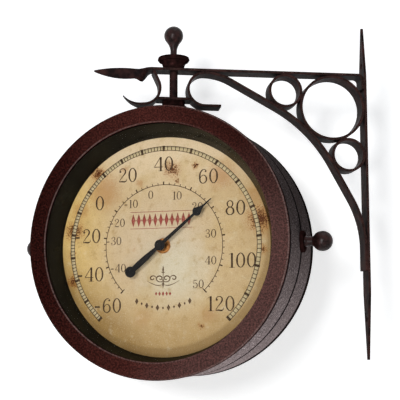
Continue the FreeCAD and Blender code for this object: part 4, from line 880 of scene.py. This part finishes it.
class CLOCK_OT_stage(bpy.types.Operator):
    """Builds the pale floor and backdrop, the lamps, the world and the camera"""
    bl_idname = "wall_clock.stage"
    bl_label = "Set stage"

    def execute(self, context):
        sweep = self.build_backdrop()
        self.light_world(context)
        self.hang_lamps(sweep)
        self.place_camera(context)
        context.scene.view_settings.view_transform = "Standard"
        return {"FINISHED"}

    @staticmethod
    def build_backdrop():
        """A floor that curves up into a backdrop. It glows for the camera alone, and from behind
        it is clear."""
        wide, tall, bend = 6, 4, 0.3
        bpy.ops.object.select_all(action="DESELECT")
        bpy.ops.mesh.primitive_plane_add(size=wide, location=(-0.1, -2.875, -0.75))
        sweep = bpy.context.active_object
        sweep.name = "floor_and_backdrop"

        def select_far_edge():
            for edge in sweep.data.edges:
                ends = [sweep.data.vertices[i].co for i in edge.vertices]
                edge.select = all(end.y > 0.48 * wide and end.z < 0.01 for end in ends)

        with edit_mode():
            bpy.ops.mesh.select_mode(type="EDGE")
            bpy.ops.mesh.select_all(action="DESELECT")
        select_far_edge()
        with edit_mode():
            bpy.ops.mesh.extrude_region_move(TRANSFORM_OT_translate={"value": (0, 0, tall)})
        select_far_edge()
        with edit_mode():
            bpy.ops.mesh.bevel(offset=bend, segments=12)
            bpy.ops.mesh.select_all(action="SELECT")
            bpy.ops.mesh.normals_make_consistent(inside=False)
        bpy.ops.object.shade_smooth()
        if sum((face.normal * face.area for face in sweep.data.polygons), Vector()).y > 0:
            with edit_mode():
                bpy.ops.mesh.flip_normals()
        made, add, where = start_material("pale_matt_paper_sweep")
        fleck = add("TexNoise", (where, 1 / 60.0, 2.0))
        lit = add("BsdfDiffuse", (add("ValToRGB", (fleck,), ((0.3, "#f6f6f5"), (0.7, "#fafafa"))),))
        both = add("AddShader", (lit, add("Emission", ("#f8fbff", 0.45))))
        front = add("MixShader", (seen_directly(add), lit, both))
        passed = add("Math", (add("NewGeometry").outputs["Backfacing"],
                              add("LightPath").outputs["Is Shadow Ray"]), operation="MAXIMUM")
        whole = add("MixShader", (passed, front, add("BsdfTransparent")))
        add("OutputMaterial", (whole,))
        sweep.data.materials.append(made)
        return sweep

    @staticmethod
    def light_world(context):
        """White to the camera, dim to what it lights."""
        world = bpy.data.worlds.new("white_studio")
        context.scene.world = world
        world.use_nodes = True
        world.node_tree.nodes.clear()
        add = partial(add_node, world.node_tree)
        strength = add("MapRange", (seen_directly(add), 0.0, 1.0, 0.28, 1.0))
        add("OutputWorld", (add("Background", ((1, 1, 1, 1), strength)),))

    @staticmethod
    def hang_lamps(sweep):
        """The key lights the object alone, the low fill the barrel alone; the lamp in front throws
        the object's shadow on the backdrop."""
        middle = on_rod("seam_band")
        barrel = [nodes[name] for name in ("front_shell", "rear_shell", "seam_band")]
        for name, place, size, power, linked, state in (
                ("key_lamp", (-0.87, -1.47, -0.56), 0.30, 9.0, [sweep], "EXCLUDE"),
                ("front_lamp", (-0.82, -1.68, 0.10), 0.34, 15.5, [], ""),
                ("low_fill_lamp", (0.06, -0.10, -1.08), 0.50, 30.0, barrel, "INCLUDE"),
                ("top_lamp", (0.1, -0.5, 1.5), 0.9, 3.0, [], ""),
                ("rear_lamp", (0.5, 1.7, 0.7), 0.9, 16.0, [], "")):
            bpy.ops.object.light_add(type="AREA", location=place)
            lamp = bpy.context.active_object
            lamp.name = name
            lamp.data.shape = "DISK"
            lamp.data.size = size
            lamp.data.energy = power
            lamp.visible_camera = False
            lamp.rotation_euler = (middle - lamp.location).to_track_quat("-Z", "Y").to_euler()
            if linked:
                group = bpy.data.collections.new(name + "_" + state.lower())
                for index, piece in enumerate(linked):
                    group.objects.link(piece)
                    group.collection_objects[index].light_linking.link_state = state
                lamp.light_linking.receiver_collection = group

    @staticmethod
    def place_camera(context):
        """Place and aim are fitted to the photo."""
        place, aim = Vector((-0.2834, -0.9446, -0.1376)), Vector((-0.1654, -0.0063, -0.0126))
        bpy.ops.object.camera_add(location=place)
        camera = bpy.context.active_object
        camera.name = "camera"
        camera.rotation_euler = (aim - place).to_track_quat("-Z", "Y").to_euler()
        camera.data.lens = 90
        camera.data.sensor_width = 36
        camera.data.clip_start = 0.01
        camera.data.clip_end = 50
        context.scene.camera = camera


OPERATORS = (CLOCK_OT_stage, CLOCK_OT_bracket, CLOCK_OT_drum, CLOCK_OT_knobs,
             CLOCK_OT_thermometer, CLOCK_OT_clock, CLOCK_OT_works)


class CLOCK_PT_panel(bpy.types.Panel):
    """Lists the steps that finish the clock"""
    bl_idname = "CLOCK_PT_panel"
    bl_label = "Wall clock"
    bl_space_type = "VIEW_3D"
    bl_region_type = "UI"
    bl_category = "Wall clock"

    def draw(self, context):
        for group in (context.scene.clock_sizes, context.scene.clock_colours):
            for name in group.__annotations__:
                self.layout.prop(group, name)
        for step in OPERATORS:
            self.layout.operator(step.bl_idname)


CLASSES = (ClockSizes, ClockColours) + OPERATORS + (CLOCK_PT_panel,)


def register():
    for made in CLASSES:
        bpy.utils.register_class(made)
    bpy.types.Scene.clock_sizes = bpy.props.PointerProperty(type=ClockSizes)
    bpy.types.Scene.clock_colours = bpy.props.PointerProperty(type=ClockColours)


def unregister():
    del bpy.types.Scene.clock_sizes
    del bpy.types.Scene.clock_colours
    for made in reversed(CLASSES):
        bpy.utils.unregister_class(made)


def main():
    register()
    bpy.ops.wall_clock.stage()
    bpy.ops.wall_clock.bracket()
    bpy.ops.wall_clock.drum()
    bpy.ops.wall_clock.knobs()
    bpy.ops.wall_clock.thermometer()
    bpy.ops.wall_clock.clock()
    bpy.ops.wall_clock.works()
    bpy.context.view_layer.update()


if __name__ == "__main__":
    main()
